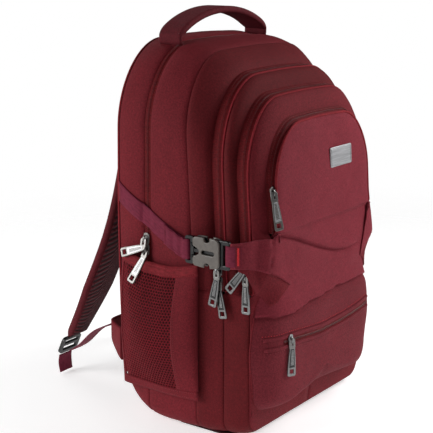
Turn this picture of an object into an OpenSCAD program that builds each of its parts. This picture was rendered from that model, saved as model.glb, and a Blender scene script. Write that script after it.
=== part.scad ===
// Travel backpack with four stacked arch-shaped compartments, padded straps,
// buckled compression straps, mesh bottle pockets and a padded top handle.
// Millimetres. +Z is up, -Y is the front of the bag, the origin is the middle
// of the flat base.

/* [Bag] */
// Half the width of the main compartment
bag_half_w = 150; // [148:1:152]
// Height of the shell at the main compartment
bag_h = 480; // [474:1:486]
// Thickness of the padded fabric walls
wall = 3; // [2:0.5:3]
// Height of the fold that the front section and its flap open about
fold_z = 262; // [261:1:264]

/* [Webbing and buckles] */
// Width of the compression webbing
web_w = 25; // [20:1:25]
// Width of the padded shoulder straps
strap_w = 58; // [50:1:60]
// Thickness of the padded shoulder straps
strap_t = 11; // [9:1:12]

/* [Zip pulls] */
// Length of a zip pull from its hinge to its tip
pull_len = 45; // [38:1:46]
// Thickness of a zip pull
pull_t = 1.8; // [1.4:0.1:1.8]

/* [Hidden] */
$fn = 32;
gap = 0.3;               // clearance left between sewn pieces
big = 600;               // longer than any side of the bag
seg = 8;                 // segments in each rounded corner
bend_z = 150;            // the section planes lean above this height

// Planes between the sections: depth at the base, and lean above bend_z
back = [112, -0.021];
zip1 = [62, -0.014];
seam = [-8, 0.055];
zip2 = [-48, 0.048];
zip3 = [-84, 0.067];
zip4 = [-108, 0.066];

// Arch of each section: half width, top, corner width, corner height, crown
rear_arch = [bag_half_w - 3, bag_h + 2, 84, 100, 9];
zip1_arch = [bag_half_w - 1, bag_h + 1, 84, 102, 9];
main_arch = [bag_half_w, bag_h, 84, 103, 8];
step_arch = [bag_half_w - 7, bag_h - 21, 88, 110, 9];
zip2_arch = [bag_half_w - 10, bag_h - 37, 90, 118, 10];
organiser_arch = [bag_half_w - 13, bag_h - 49, 86, 115, 10];
zip3_arch = [bag_half_w - 15, bag_h - 61, 82, 110, 10];
front_arch = [bag_half_w - 23, bag_h - 72, 78, 100, 10];
zip4_arch = [bag_half_w - 33, bag_h - 84, 75, 92, 10];
flap_arch = [bag_half_w - 45, bag_h - 92, 71, 88, 9];

zip_half = 2.1;          // half the depth of a zip's ring
zip_end_z = 190;         // lower end of the arched zips
zip_band = 5;            // width of a zip's tape and chain in its arch
base_t = 2.8;            // thickness of the base panel
floor_z = 3;             // underside of the shells above the base panel
base_y = [-58, 42];
back_rise = 55;          // rise of the underside towards the back panel
front_reach = [-62, 48]; // start and depth of the underside's curve up to the front
front_rise = 42;
pad_t = 6.5;             // thickness of the back pads

// Lower front: front face of its shell, panels ahead of it, and its zip
lower_half_w = bag_half_w - 18;
lower_front_y = -103;
lower_top_z = 180;
lower_panel_y = [-110, lower_front_y - gap];
lower_zip_z = 127;
lower_zip_half = 102;
plate_front = 1.8;       // thickness of the name plate

// Compression strap in the side plane: depth and height of each end
strap_rear = [103, 297];
strap_front = [1, 243];
strap_x = [bag_half_w + 0.8, bag_half_w + 2.4];

// Buckles stand off the side far enough for a slider to pass under them
buckle_x = bag_half_w + 7.5;
buckle_z = 240;
housing_y = [-57, -20];
housing_h = 34;
housing_t = 11;
housing_end_y = -70;
channel_h = 27;
channel_t = 6;
insert_y = [-18.5, -6];
insert_t = 5;
prong_root_y = -17;
prong_tip_y = -46;
prong_inner = 6;
prong_outer = 12.6;

// Bottle pocket on each side
pocket_y = [-20, 99];
pocket_base_z = 50;
pocket_mouth_z = 212;
pocket_mouth = 4;        // gap at the elastic mouth
pocket_bulge = 20;       // extra depth halfway down
pocket_t = 1.6;
pocket_x = bag_half_w + 0.9;
binding_h = 12;
pocket_cols = 14;

// Shoulder strap: rear face as [depth, height, share of the full thickness]
strap_route = [[127, 394, 0.55], [133, 350, 1], [146, 290, 1], [166, 228, 1],
    [191, 174, 1], [220, 118, 1], [250, 66, 0.8]];
strap_inner_x = 57;
strap_mid_x = -strap_inner_x - strap_w / 2;
lock_at = [253.5, 57];
lock_tilt = 25;
lock_w = 36;
lock_t = 4;
lock_len = 27;

// Top handle
handle_y = 66;
handle_w = 38;
handle_t = 9;
handle_half = 98;
handle_z = [486, 519];

// Zip sliders. The upper one of a pair has the high bridge, so its pull hangs over the lower one
slider_x = [bag_half_w + 0.4, bag_half_w - 6.6, bag_half_w - 12.6];
front_slider = [-113.2, 312];
slider_len = 13;
slider_w = 8;
bridge_low = 4.8;
bridge_high = 8.2;
bridge_w = 1.2;
post_z = 4.1;
ring_bar_r = 0.8;
ring_half_w = 3.6;
ring_len = 10.4;

// ---- outlines and prisms ----

// Depth of a section plane at height z
function plane_y(p, z) = p[0] + p[1] * max(z - bend_z, 0);

// Arch outline in the plane of X and Z, drawn in by t
function arch(a, t = 0) =
    let (w = a[0] - t, top = a[1] - t, rx = a[2] - t, rz = a[3] - t, crown = a[4],
         zc = top - crown - rz,
         corner = [for (i = [0:seg]) let (g = 180 - 90 * i / seg) [-w + rx + rx * cos(g), zc + rz * sin(g)]],
         bowed = [for (p = corner) [p[0], p[1] + crown * (p[1] - zc) / rz * (1 - pow(p[0] / w, 2))]],
         flat_x = (-w + rx) / 2,
         left = concat([[-w, -20]], bowed, [[flat_x, top - crown * pow(flat_x / w, 2)]]))
    concat(left, [[0, top]], [for (i = [len(left) - 1:-1:0]) [-left[i][0], left[i][1]]]);

// Outline of the bag above its underside, in the plane of Y and Z, drawn in by t
function underside(t = 0) = let (a = back[0] + 1 - base_y[1])
    concat([[-140, big], [-140, floor_z + front_rise + t]],
        [for (i = [seg:-1:0]) [front_reach[0] - (front_reach[1] - t) * sin(90 * i / seg),
                               floor_z + t + front_rise * (1 - cos(90 * i / seg))]],
        [for (i = [0:seg]) [base_y[1] + (a - t) * sin(90 * i / seg),
                            floor_z + t + back_rise * (1 - cos(90 * i / seg))]],
        [[back[0] + 1 - t, big]]);

// Slab between plane p moved by dp and plane q moved by dq, in Y and Z
function slab(p, dp, q, dq) = [
    [p[0] + dp, -big / 2], [q[0] + dq, -big / 2], [q[0] + dq, bend_z], [plane_y(q, big) + dq, big],
    [plane_y(p, big) + dp, big], [p[0] + dp, bend_z]];

// Rounded rectangle from corner a to corner b
function rounded(a, b, r) =
    [for (q = [0:3], i = [0:seg]) let (g = 180 + 90 * q + 90 * i / seg,
        cx = (q == 0 || q == 3) ? a[0] + r : b[0] - r, cy = q < 2 ? a[1] + r : b[1] - r)
        [cx + r * cos(g), cy + r * sin(g)]];

// Extrudes a drawing in X and Z between two depths
module along_y(y) translate([0, y[1], 0]) rotate([90, 0, 0]) linear_extrude(y[1] - y[0]) children();

// Extrudes a drawing in Y and Z between two values of X
module along_x(x) translate([x[0], 0, 0]) rotate([90, 0, 90]) linear_extrude(x[1] - x[0]) children();

// Extrudes a drawing in X and Y between two heights
module along_z(z) translate([0, 0, z[0]]) linear_extrude(z[1] - z[0]) children();

// Box between two corners
module block(a, b) translate(a) cube(b - a);

module both_sides() {
    children();
    mirror([1, 0, 0]) children();
}

module above(z) intersection() {
    children();
    block([-big, -big, z], [big, big, big]);
}

module below(z) intersection() {
    children();
    block([-big, -big, -big], [big, big, z]);
}

// Solid of the arch a between two planes, drawn in by t
module section(p, dp, q, dq, a, t = 0) intersection() {
    along_y([-big / 2, big / 2]) polygon(arch(a, t));
    along_x([-big / 2, big / 2]) polygon(slab(p, dp, q, dq));
    along_x([-big / 2, big / 2]) polygon(underside(t));
}

// Ring of fabric between two planes, open in front, and open behind unless closed
module ring(p, dp, q, dq, a, closed = false) difference() {
    section(p, dp, q, dq, a);
    section(p, dp - 1, q, closed ? dq - wall : dq + 1, a, wall);
}

// Ring of zip tape and chain on plane p, above height z
module zip_ring(p, a, z) color("darkred") above(z) difference() {
    section(p, -zip_half, p, zip_half, a);
    section(p, -zip_half - 1, p, zip_half + 1, a, zip_band);
}

// ---- rear compartment ----

module back_panel() color("darkred") section(back, -3.7, back, 0, rear_arch, 4);

module back_pads() color("maroon") both_sides() for (z = [[96, 232], [244, 392]])
    along_y([back[0] + gap, back[0] + pad_t]) polygon(rounded([14, z[0]], [112, z[1]], 20));

module rear_shell() color("brown") ring(zip1, zip_half + gap, back, -4, rear_arch);

module rear_zip() zip_ring(zip1, zip1_arch, zip_end_z);

module laptop_partition() color("dimgray") section(zip1, -8, zip1, -5, main_arch, wall + 0.6);

module laptop_sleeve() color("dimgray") along_y([88, 91.5]) polygon(rounded([-122, 68], [122, 330], 18));

// ---- main compartment ----

module main_shell() color("brown") {
    difference() {
        union() {
            section(seam, 0, zip1, -zip_half - gap, main_arch);
            section(zip2, zip_half + gap, seam, 1, step_arch);
        }
        section(seam, wall, zip1, 0, main_arch, wall);
        section(zip2, 0, seam, wall + 1, step_arch, wall);
    }
    below(zip_end_z - gap) ring(zip1, -zip_half - gap, zip1, zip_half, zip1_arch);
}

module base_panel() color("maroon")
    along_z([0, base_t]) polygon(rounded([-132, base_y[0]], [132, base_y[1]], 24));

module base_board() color("black")
    along_z([floor_z + wall + gap, floor_z + wall + 2.5]) polygon(rounded([-130, -40], [130, 40], 10));

module main_zip() {
    zip_ring(zip2, zip2_arch, zip_end_z);
    color("brown") below(zip_end_z - gap) ring(zip2, -zip_half, zip2, zip_half, zip2_arch);
}

// ---- organiser section ----

// Ring with a wall behind it, and a rim in front that carries the zip
module organiser_shell() color("brown") difference() {
    section(zip3, -zip_half, zip2, -zip_half - gap, organiser_arch);
    section(zip3, zip_half, zip2, -zip_half - gap - wall, organiser_arch, wall);
    section(zip3, -zip_half - 1, zip3, zip_half + 1, zip3_arch, zip_band);
}

module organiser_shell_lower() below(fold_z) organiser_shell();

module organiser_shell_upper() above(fold_z + gap) organiser_shell();

module organiser_pocket() color("dimgray") along_y([-72, -70]) polygon(rounded([-112, 14], [112, 170], 12));

// ---- front section ----

// Plan of the lower front with rounded front corners, drawn in by t
function front_plan(t) = 
    let (w = lower_half_w - t, r = 13 - t, y = lower_front_y + t, q = zip3[0] - zip_half - gap - t)
    concat([[-w, q]],
        [for (i = [0:seg]) [-w + r - r * cos(90 * i / seg), y + r - r * sin(90 * i / seg)]],
        [for (i = [0:seg]) [w - r + r * sin(90 * i / seg), y + r - r * cos(90 * i / seg)]],
        [[w, q]]);

module front_shell_lower() color("brown") difference() {
    intersection() {
        along_z([floor_z, lower_top_z]) polygon(front_plan(0));
        along_x([-big, big]) polygon(underside());
    }
    intersection() {
        along_z([floor_z, lower_top_z + 1]) polygon(front_plan(wall));
        along_x([-big, big]) polygon(underside(wall));
    }
    block([-96, -big, floor_z + front_rise + 10], [96, lower_front_y + wall + 1, big]);
}

// Front plate with rounded ends, just ahead of the lower shell
module front_plate(half_w, z, r) color("indianred")
    along_y(lower_panel_y) polygon(rounded([-half_w, z[0]], [half_w, z[1]], r));

module lower_pocket_panel() front_plate(110, [44, lower_zip_z - 5], 16);

module lower_zip() color("darkred") {
    block([-lower_zip_half, lower_panel_y[0] + 1.5, lower_zip_z - 4.7],
          [lower_zip_half, lower_panel_y[1], lower_zip_z + 3.7]);
    block([-lower_zip_half, lower_panel_y[0], lower_zip_z - 1.5],
          [lower_zip_half, lower_panel_y[0] + 2, lower_zip_z + 1.5]);
}

module front_fold_panel() front_plate(110, [lower_zip_z + 4, lower_top_z], 8);

module front_shell() color("brown") ring(zip4, 1.8, zip3, -zip_half - gap, front_arch, true);

module front_shell_mid() {
    above(lower_top_z + gap) below(fold_z) front_shell();
    color("indianred") above(lower_top_z + gap) below(fold_z) section(zip4, -1.2, zip4, 2, front_arch);
}

module front_shell_upper() above(fold_z + gap) front_shell();

module front_zip() color("darkred") above(fold_z + gap) difference() {
    section(zip4, -1.2, zip4, 1.5, zip4_arch);
    section(zip4, -3, zip4, 3, zip4_arch, zip_band);
}

module front_flap() color("indianred") above(fold_z + gap) section(zip4, -6.5, zip4, -1.5, flap_arch);

// Plate on the flap, which leans back with it
module name_plate() color("silver") intersection() {
    along_x([9, 60]) polygon(slab(zip4, -6.7 - plate_front, zip4, -6.7));
    along_y([-big / 2, big / 2]) polygon(rounded([9, 324], [60, 348], 1));
}

// ---- bottle pockets ----

// Height of the mouth at length fraction l
function mouth_z(l) = pocket_mouth_z + 40 * pow(l - 0.45, 2);

// Point of the pocket, h down from the mouth, at length fraction l, drawn in by t
function pocket_point(h, l, t) = [
    pocket_x + max(1.6 + sqrt(sin(180 * l)) * (pocket_mouth + pocket_bulge * sin(180 * h)) - t, 0.2),
    pocket_y[0] + t + (pocket_y[1] - pocket_y[0] - 2 * t) * l,
    mouth_z(l) - (mouth_z(l) - pocket_base_z) * h];

// Curved wall of the pocket between two heights, each a fraction down from the mouth
module pocket_wall(h0, h1, n) {
    m = pocket_cols;
    k = (n + 1) * (m + 1);
    row = m + 1;
    points = [for (t = [0, pocket_t], i = [0:n], j = [0:m]) pocket_point(h0 + (h1 - h0) * i / n, j / m, t)];
    polyhedron(points, concat(
        [for (i = [0:n - 1], j = [0:m - 1]) let (a = i * row + j) [a, a + 1, a + row + 1, a + row]],
        [for (i = [0:n - 1], j = [0:m - 1]) let (a = k + i * row + j) [a, a + row, a + row + 1, a + 1]],
        [for (j = [0:m - 1]) [j, k + j, k + j + 1, j + 1]],
        [for (j = [0:m - 1]) let (a = n * row + j) [a, a + 1, k + a + 1, k + a]],
        [for (i = [0:n - 1]) let (a = i * row) [a, a + row, k + a + row, k + a]],
        [for (i = [0:n - 1]) let (a = i * row + m) [a, k + a, k + a + row, a + row]]));
}

module mesh_pocket() color("maroon") {
    pocket_wall(0.08, 1, 8);
    along_z([pocket_base_z - 2, pocket_base_z - 0.2]) polygon(concat(
        [for (j = [0:pocket_cols]) let (p = pocket_point(1, j / pocket_cols, 0)) [p[0], p[1]]],
        [[pocket_x, pocket_y[1]], [pocket_x, pocket_y[0]]]));
}

module mesh_pocket_right() mesh_pocket();

module mesh_pocket_left() mirror([1, 0, 0]) mesh_pocket();

module pocket_bindings() color("firebrick") both_sides() pocket_wall(0, 0.077, 1);

// ---- webbing on the sides ----

module compression_straps() color("purple") both_sides() along_x([-strap_x[1], -strap_x[0]])
    polygon([[strap_front[0], strap_front[1] - web_w / 2 - 2], [strap_rear[0], strap_rear[1] - web_w / 2 - 2],
             [strap_rear[0], strap_rear[1] + web_w / 2], [strap_front[0], strap_front[1] + web_w / 2]]);

// Sewn fabric tab that carries each buckle housing
module strap_tongues() color("brown") both_sides() difference() {
    along_z([buckle_z - 18, buckle_z + 17]) polygon([
        [-94, -105.6], [-127.6, -105.6], [-132, -101], [-149, -86], [-154.5, -71.2], [-160, -71.2],
        [-156, -84], [-152.5, -89], [-134.5, -104.5], [-129, -108.4], [-94, -108.4]]);
    block([-big, -84, -big], [-146, -60, buckle_z - 13]);
    block([-big, -84, buckle_z + 13], [-146, -60, big]);
}

// ---- buckles ----

// Housing: hollow mouth at the back, side windows, face slots and a webbing bar
module buckle_housing() color("dimgray") translate([-buckle_x, 0, buckle_z]) difference() {
    union() {
        along_x([-housing_t / 2, housing_t / 2])
            polygon(rounded([housing_y[0], -housing_h / 2], [housing_y[1], housing_h / 2], 5));
        along_x([-2.5, 2.5]) polygon(rounded([housing_end_y, -16.5], [housing_y[0] + 8, 16.5], 3));
    }
    block([-channel_t / 2, housing_y[0] + 7, -channel_h / 2], [channel_t / 2, 0, channel_h / 2]);
    for (s = [-1, 1]) translate([0, -39.6, s * housing_h / 2]) rotate([0, 90, 0])
        cylinder(h = 40, r = 6.5, center = true);
    along_x([-20, 20]) polygon(rounded([-48.5, -2.4], [-31, 2.4], 2.3));
    along_x([-20, 20]) polygon([[-28, 0], [-19, -9], [-19, 9]]);
    block([-20, housing_end_y + 2.7, -13.4], [20, housing_y[0] - 3.6, 13.4]);
}

module buckle_housings() both_sides() buckle_housing();

// Insert: webbing frame and guide pin, without its two prongs
module buckle_insert() color("dimgray") translate([-buckle_x, 0, buckle_z]) {
    difference() {
        along_x([-insert_t / 2, insert_t / 2])
            polygon(rounded([insert_y[0], -17], [insert_y[1], 17], 3));
        block([-20, insert_y[0] + 4.4, -13.4], [20, insert_y[1] - 2.6, 13.4]);
        for (z = [5, -10]) block([-20, insert_y[0] - 1, z], [20, prong_root_y + 1.4, z + 5]);
    }
    block([-2, -50, -2], [2, insert_y[0] + 0.5, 2]);
}

// One springy side prong; s is 1 for the upper and -1 for the lower
module prong(s) color("dimgray") translate([-buckle_x, 0, buckle_z]) along_x([-insert_t / 2, insert_t / 2])
    polygon([[prong_root_y, s * prong_inner], [prong_root_y - 12, s * (prong_inner - 0.5)],
        [prong_tip_y, s * prong_inner], [prong_tip_y, s * (prong_outer - 3)],
        [prong_tip_y + 3, s * prong_outer], [prong_tip_y + 14, s * prong_outer],
        [prong_root_y - 5, s * (prong_inner + 3)], [prong_root_y, s * (prong_inner + 3)]]);

module buckle_insert_left() buckle_insert();

module buckle_insert_right() mirror([1, 0, 0]) buckle_insert();

module prong_upper_left() prong(1);

module prong_lower_left() prong(-1);

module prong_upper_right() mirror([1, 0, 0]) prong(1);

module prong_lower_right() mirror([1, 0, 0]) prong(-1);

// ---- shoulder straps ----

module shoulder_strap() color("maroon") intersection() {
    along_x([-strap_inner_x - strap_w, -strap_inner_x]) polygon(concat(
        [for (p = strap_route) [p[0], p[1]]],
        [for (i = [len(strap_route) - 1:-1:0]) let (p = strap_route[i])
            [p[0] - strap_t * p[2], p[1] - strap_t * 0.25]]));
    along_y([0, big]) polygon([
        [strap_mid_x - strap_w / 2, 500], [strap_mid_x - strap_w / 2, 140], [strap_mid_x - 16, 44],
        [strap_mid_x + 16, 44], [strap_mid_x + strap_w / 2, 140], [strap_mid_x + strap_w / 2, 500]]);
}

// Strap adjuster: frame with two slots, hung under the shoulder strap
module ladder_lock() color("black") translate([strap_mid_x, lock_at[0], lock_at[1]]) rotate([lock_tilt, 0, 0])
    difference() {
        along_y([-lock_t / 2, lock_t / 2]) polygon(rounded([-lock_w / 2, -lock_len], [lock_w / 2, 0], 5));
        block([-13.5, -10, -10], [13.5, 10, -4]);
        block([-13.5, -10, -22], [13.5, 10, -14]);
    }

// Loose webbing that hangs from the adjuster
module webbing_tail() color("purple") along_x([strap_mid_x - web_w / 2, strap_mid_x + web_w / 2])
    polygon([[267, 28], [269, 18], [266.5, 2], [268.3, 2], [270.8, 18], [268.8, 28.6]]);

module shoulder_strap_left() shoulder_strap();

module shoulder_strap_right() mirror([1, 0, 0]) shoulder_strap();

module ladder_lock_left() ladder_lock();

module ladder_lock_right() mirror([1, 0, 0]) ladder_lock();

module webbing_tail_left() webbing_tail();

module webbing_tail_right() mirror([1, 0, 0]) webbing_tail();

module lower_webbing() color("purple") both_sides() along_x([strap_mid_x - web_w / 2, strap_mid_x + web_w / 2])
    polygon([[173, 91], [204, 79], [231, 51], [250, 40],
        [249, 38.4], [230, 49.2], [203, 77.2], [173, 89]]);

module strap_wings() color("brown") both_sides() intersection() {
    along_z([66, 112]) polygon([[-140, 113], [-136, 124], [-100, 172], [-73, 172], [-73, 166], [-100, 160],
        [-126, 113]]);
    along_x([-big, 0]) polygon([[112, 66], [172, 78], [172, 102], [112, 112]]);
}

// ---- handle ----

// One point of the handle's arch at angle g, drawn in by t
function handle_point(g, t) = [(handle_half - t) * cos(g),
    handle_z[0] + (handle_z[1] - handle_z[0] - t) * pow(sin(g), 1.05)];

module top_handle() color("maroon") along_y([handle_y - handle_w / 2, handle_y + handle_w / 2])
    polygon(concat([for (i = [0:24]) handle_point(7.5 * i, 0)],
        [for (i = [24:-1:0]) handle_point(7.5 * i, handle_t)]));

// ---- zip sliders and pulls ----

// Puts a piece on a side face: plane p, distance x of the face, and height z
module on_side(p, x, z)
    translate([-x, plane_y(p, z), z]) rotate([-atan(p[1]), 0, 0]) rotate([0, 0, -90]) children();

// Puts a piece on the front pocket's zip
module on_front()
    translate([front_slider[0], plane_y(zip4, front_slider[1]) - 1.2, front_slider[1]])
        rotate([-atan(zip4[1]), 0, 0]) children();

// Puts a piece on the lower pocket's zip
module on_lower() translate([-90, lower_panel_y[0] - 0.2, lower_zip_z]) children();

// Slider: plate over the chain, and a bridge of height h for the pull
module slider(h) color("silver") difference() {
    union() {
        along_y([-1.9, -0.2])
            polygon(rounded([-slider_w / 2, -slider_len / 2], [slider_w / 2, slider_len / 2], 3));
        block([-bridge_w / 2, -h, -post_z - 1], [bridge_w / 2, -0.4, post_z + 1]);
    }
    block([-big, 1.1 - h, -post_z], [big, -1.9, post_z]);
}

// Pull on a bridge of height h: ring through the bridge, and a tab with a window
// near its tip. The tab is splayed by twist, and the whole pull stands off by lean.
module pull(h, twist, lean) color("silver") translate([0, 2 - h, 0]) rotate([-lean, 0, 0]) {
    rotate([0, 90, 0]) cylinder(h = 2 * ring_half_w, r = ring_bar_r, center = true);
    difference() {
        block([-ring_half_w, -pull_t / 2, -ring_len], [ring_half_w, pull_t / 2, 0]);
        block([-1.9, -5, 3.2 - ring_len], [1.9, 5, 1]);
    }
    translate([0, 0, -ring_len]) rotate([0, twist, 0]) difference() {
        union() {
            along_y([-pull_t / 2, pull_t / 2]) polygon([[-3, 0], [-4.8, ring_len - pull_len],
                [4.8, ring_len - pull_len], [3, 0]]);
            rotate([90, 0, 0]) cylinder(h = pull_t, r = 3, center = true);
        }
        block([-2.9, -5, ring_len - pull_len + 2.2], [2.9, 5, ring_len - pull_len + 8.5]);
    }
}

module slider_rear_upper() on_side(zip1, slider_x[0], 241) slider(bridge_high);

module slider_rear_lower() on_side(zip1, slider_x[0], 227) slider(bridge_low);

module slider_main_upper() on_side(zip2, slider_x[1], 216) slider(bridge_high);

module slider_main_lower() on_side(zip2, slider_x[1], 202) slider(bridge_low);

module slider_organiser_upper() on_side(zip3, slider_x[2], 230) slider(bridge_high);

module slider_organiser_lower() on_side(zip3, slider_x[2], 212) slider(bridge_low);

module slider_front() on_front() slider(bridge_low);

module slider_lower() on_lower() slider(bridge_low);

module pull_rear_upper() on_side(zip1, slider_x[0], 241) pull(bridge_high, 70, 12);

module pull_rear_lower() on_side(zip1, slider_x[0], 227) pull(bridge_low, 18, 24);

module pull_main_upper() on_side(zip2, slider_x[1], 216) pull(bridge_high, 14, 1);

module pull_main_lower() on_side(zip2, slider_x[1], 202) pull(bridge_low, -8, 0);

module pull_organiser_upper() on_side(zip3, slider_x[2], 230) pull(bridge_high, 42, 1);

module pull_organiser_lower() on_side(zip3, slider_x[2], 212) pull(bridge_low, 3, 0);

module pull_front() on_front() pull(bridge_low, -4, 4);

module pull_lower() on_lower() pull(bridge_low, 4, 3);

back_panel();
back_pads();
rear_shell();
rear_zip();
main_shell();
laptop_partition();
laptop_sleeve();
base_panel();
base_board();
main_zip();
organiser_shell_lower();
organiser_pocket();
front_shell_lower();
lower_pocket_panel();
lower_zip();
front_fold_panel();
front_shell_mid();
mesh_pocket_left();
mesh_pocket_right();
pocket_bindings();
compression_straps();
strap_tongues();
buckle_housings();
strap_wings();
lower_webbing();
organiser_shell_upper();
front_shell_upper();
front_zip();
front_flap();
name_plate();
top_handle();
shoulder_strap_left();
shoulder_strap_right();
ladder_lock_left();
ladder_lock_right();
webbing_tail_left();
webbing_tail_right();
buckle_insert_left();
buckle_insert_right();
prong_upper_left();
prong_lower_left();
prong_upper_right();
prong_lower_right();
slider_rear_upper();
slider_rear_lower();
slider_main_upper();
slider_main_lower();
slider_organiser_upper();
slider_organiser_lower();
slider_front();
slider_lower();
pull_rear_upper();
pull_rear_lower();
pull_main_upper();
pull_main_lower();
pull_organiser_upper();
pull_organiser_lower();
pull_front();
pull_lower();
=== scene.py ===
"""Looks of the travel backpack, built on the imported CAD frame.

Lengths in this script are in millimetres, in the CAD's own frame: +Z is up, -Y is
the front and -X is the side with the parked zip sliders. MM turns them into metres.
"""

import contextlib
import math

import bmesh
import bpy
import numpy as np
from mathutils import Matrix, Vector, noise
from mathutils.bvhtree import BVHTree


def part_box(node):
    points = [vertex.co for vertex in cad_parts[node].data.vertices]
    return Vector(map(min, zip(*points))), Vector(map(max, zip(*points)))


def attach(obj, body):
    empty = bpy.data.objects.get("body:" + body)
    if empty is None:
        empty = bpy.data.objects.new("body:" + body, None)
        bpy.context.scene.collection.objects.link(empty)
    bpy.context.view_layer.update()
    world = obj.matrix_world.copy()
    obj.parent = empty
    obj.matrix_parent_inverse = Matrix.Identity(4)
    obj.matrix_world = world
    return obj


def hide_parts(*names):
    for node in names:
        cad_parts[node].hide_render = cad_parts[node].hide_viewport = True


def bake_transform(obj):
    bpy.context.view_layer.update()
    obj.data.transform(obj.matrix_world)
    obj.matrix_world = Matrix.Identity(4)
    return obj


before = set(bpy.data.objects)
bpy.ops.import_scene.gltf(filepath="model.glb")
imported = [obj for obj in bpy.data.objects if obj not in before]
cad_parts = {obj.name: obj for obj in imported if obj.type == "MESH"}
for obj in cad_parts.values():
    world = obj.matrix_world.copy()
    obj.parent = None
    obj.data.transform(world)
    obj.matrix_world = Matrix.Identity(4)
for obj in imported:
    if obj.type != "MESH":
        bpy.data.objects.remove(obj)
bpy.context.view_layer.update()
MM = 0.001

# ---------------------------------------------------------------- camera, light and floor

IMAGE_WIDTH = 433
SENSOR_WIDTH = 36
PIXELS_PER_MM = 0.763
DISTANCE = 1500


def linked(name, data):
    """New object in the scene."""
    made = bpy.data.objects.new(name, data)
    bpy.context.scene.collection.objects.link(made)
    return made


def placed(name, data, target, distance, azimuth, elevation):
    """Object that faces a target in metres from a distance. Azimuth runs as in the views."""
    a, e = math.radians(azimuth), math.radians(elevation)
    back = Vector((math.sin(a) * math.cos(e), -math.cos(a) * math.cos(e), math.sin(e)))
    made = linked(name, data)
    made.location = Vector(target) + distance * back
    made.rotation_euler = back.to_track_quat("Z", "Y").to_euler()
    return made


def add_camera():
    low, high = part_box("main_shell")
    data = bpy.data.cameras.new("camera")
    data.lens = SENSOR_WIDTH * PIXELS_PER_MM * DISTANCE / IMAGE_WIDTH
    aim = (-0.03, 0.042, (low[2] + high[2]) / 2 + 0.0068)
    bpy.context.scene.camera = placed("camera", data, aim, DISTANCE * MM, -54, 13.2)


def add_light(name, azimuth, elevation, distance, size, power):
    """Soft square light that faces the middle of the bag."""
    data = bpy.data.lights.new(name, "AREA")
    data.size, data.energy = size, power
    placed(name, data, (0, 0, 0.25), distance, azimuth, elevation).visible_camera = False


def add_stage():
    """Studio that is white to the camera and lights the bag with four soft boxes."""
    world = bpy.data.worlds.new("studio")
    bpy.context.scene.world = world
    world.use_nodes = True
    tree = world.node_tree
    seen = node(tree, "LightPath", {}).outputs["Is Camera Ray"]
    strength = node(tree, "Mix", {"Factor": seen, "A": 0.045, "B": 1.0}).outputs["Result"]
    feed(tree, tree.nodes["Background"], {"Color": (1, 1, 1, 1), "Strength": strength})
    bpy.context.scene.view_settings.view_transform = "Standard"
    add_light("left_box", -128, 14, 1.8, 1.1, 25)
    add_light("right_box", 40, 30, 1.2, 0.8, 14)
    add_light("fill", -52, 20, 2.4, 1.4, 4.5)
    add_light("rear", 165, 35, 2.4, 1.4, 10)
    add_floor()


def add_floor():
    """Pale round floor that fades out towards its edge, so it has no horizon."""
    turns = [2 * math.pi * i / 64 for i in range(64)]
    rings = [[(r * math.cos(a), r * math.sin(a), -0.4) for a in turns] for r in (1, 300, 700, 1200, 1700)]
    floor = grid_mesh("floor", rings, ring=True)
    material, tree, shader, _, space = start_material("floor", 0.9)
    reach = node(tree, "VectorMath", {0: space}, operation="LENGTH").outputs["Value"]
    fade = node(tree, "MapRange",
                {"Value": reach, "From Min": 0.35, "From Max": 1.5, "To Min": 1.0, "To Max": 0.0},
                interpolation_type="SMOOTHSTEP").outputs["Result"]
    feed(tree, shader, {"Base Color": greys(tree, noise_node(tree, space, 60), 0.3, 0.7, 0.88, 0.9),
                        "Emission Color": (1, 1, 1, 1), "Emission Strength": 0.5, "Alpha": fade})
    floor.data.materials.append(material)
    return floor


# ---------------------------------------------------------------- materials


def linear(colour):
    return [c / 12.92 if c < 0.04045 else ((c + 0.055) / 1.055) ** 2.4 for c in colour] + [1]


def feed(tree, target, inputs):
    """Sets a node's inputs. Each takes a value, or the socket that feeds it."""
    for key, value in inputs.items():
        if isinstance(value, bpy.types.NodeSocket):
            tree.links.new(value, target.inputs[key])
        else:
            target.inputs[key].default_value = value


def node(tree, kind, inputs, **settings):
    made = tree.nodes.new("ShaderNode" + kind)
    for key, value in settings.items():
        setattr(made, key, value)
    feed(tree, made, inputs)
    return made


def start_material(name, roughness, metallic=0.0):
    """New material, its tree and shader, and its UV and object coordinates."""
    material = bpy.data.materials.new(name)
    material.use_nodes = True
    tree = material.node_tree
    shader = tree.nodes["Principled BSDF"]
    feed(tree, shader, {"Roughness": roughness, "Metallic": metallic})
    coordinates = node(tree, "TexCoord", {}).outputs
    return material, tree, shader, coordinates["UV"], coordinates["Object"]


def noise_node(tree, coordinates, scale, detail=2.0, stretch=(1, 1, 1)):
    mapping = node(tree, "Mapping", {"Vector": coordinates, "Scale": stretch}).outputs["Vector"]
    return node(tree, "TexNoise", {"Vector": mapping, "Scale": scale, "Detail": detail}).outputs["Fac"]


def wave_node(tree, coordinates, period, turn):
    """Bands of the given period in metres, turned by an angle in degrees."""
    mapping = node(tree, "Mapping",
                   {"Vector": coordinates, "Rotation": (0, 0, math.radians(turn))}).outputs["Vector"]
    scale = 2 * math.pi / 20 / period
    return node(tree, "TexWave", {"Vector": mapping, "Scale": scale, "Distortion": 0.6}).outputs["Fac"]


def mixed(tree, factor, low, high, a, b):
    """Colour from a to b as factor runs from low to high."""
    ramp = node(tree, "ValToRGB", {"Fac": factor})
    for element, position, colour in zip(ramp.color_ramp.elements, (low, high), (a, b)):
        element.position, element.color = position, colour
    return ramp.outputs["Color"]


def greys(tree, factor, low, high, dark, light=1.0):
    return mixed(tree, factor, low, high, (dark, dark, dark, 1), (light, light, light, 1))


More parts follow.
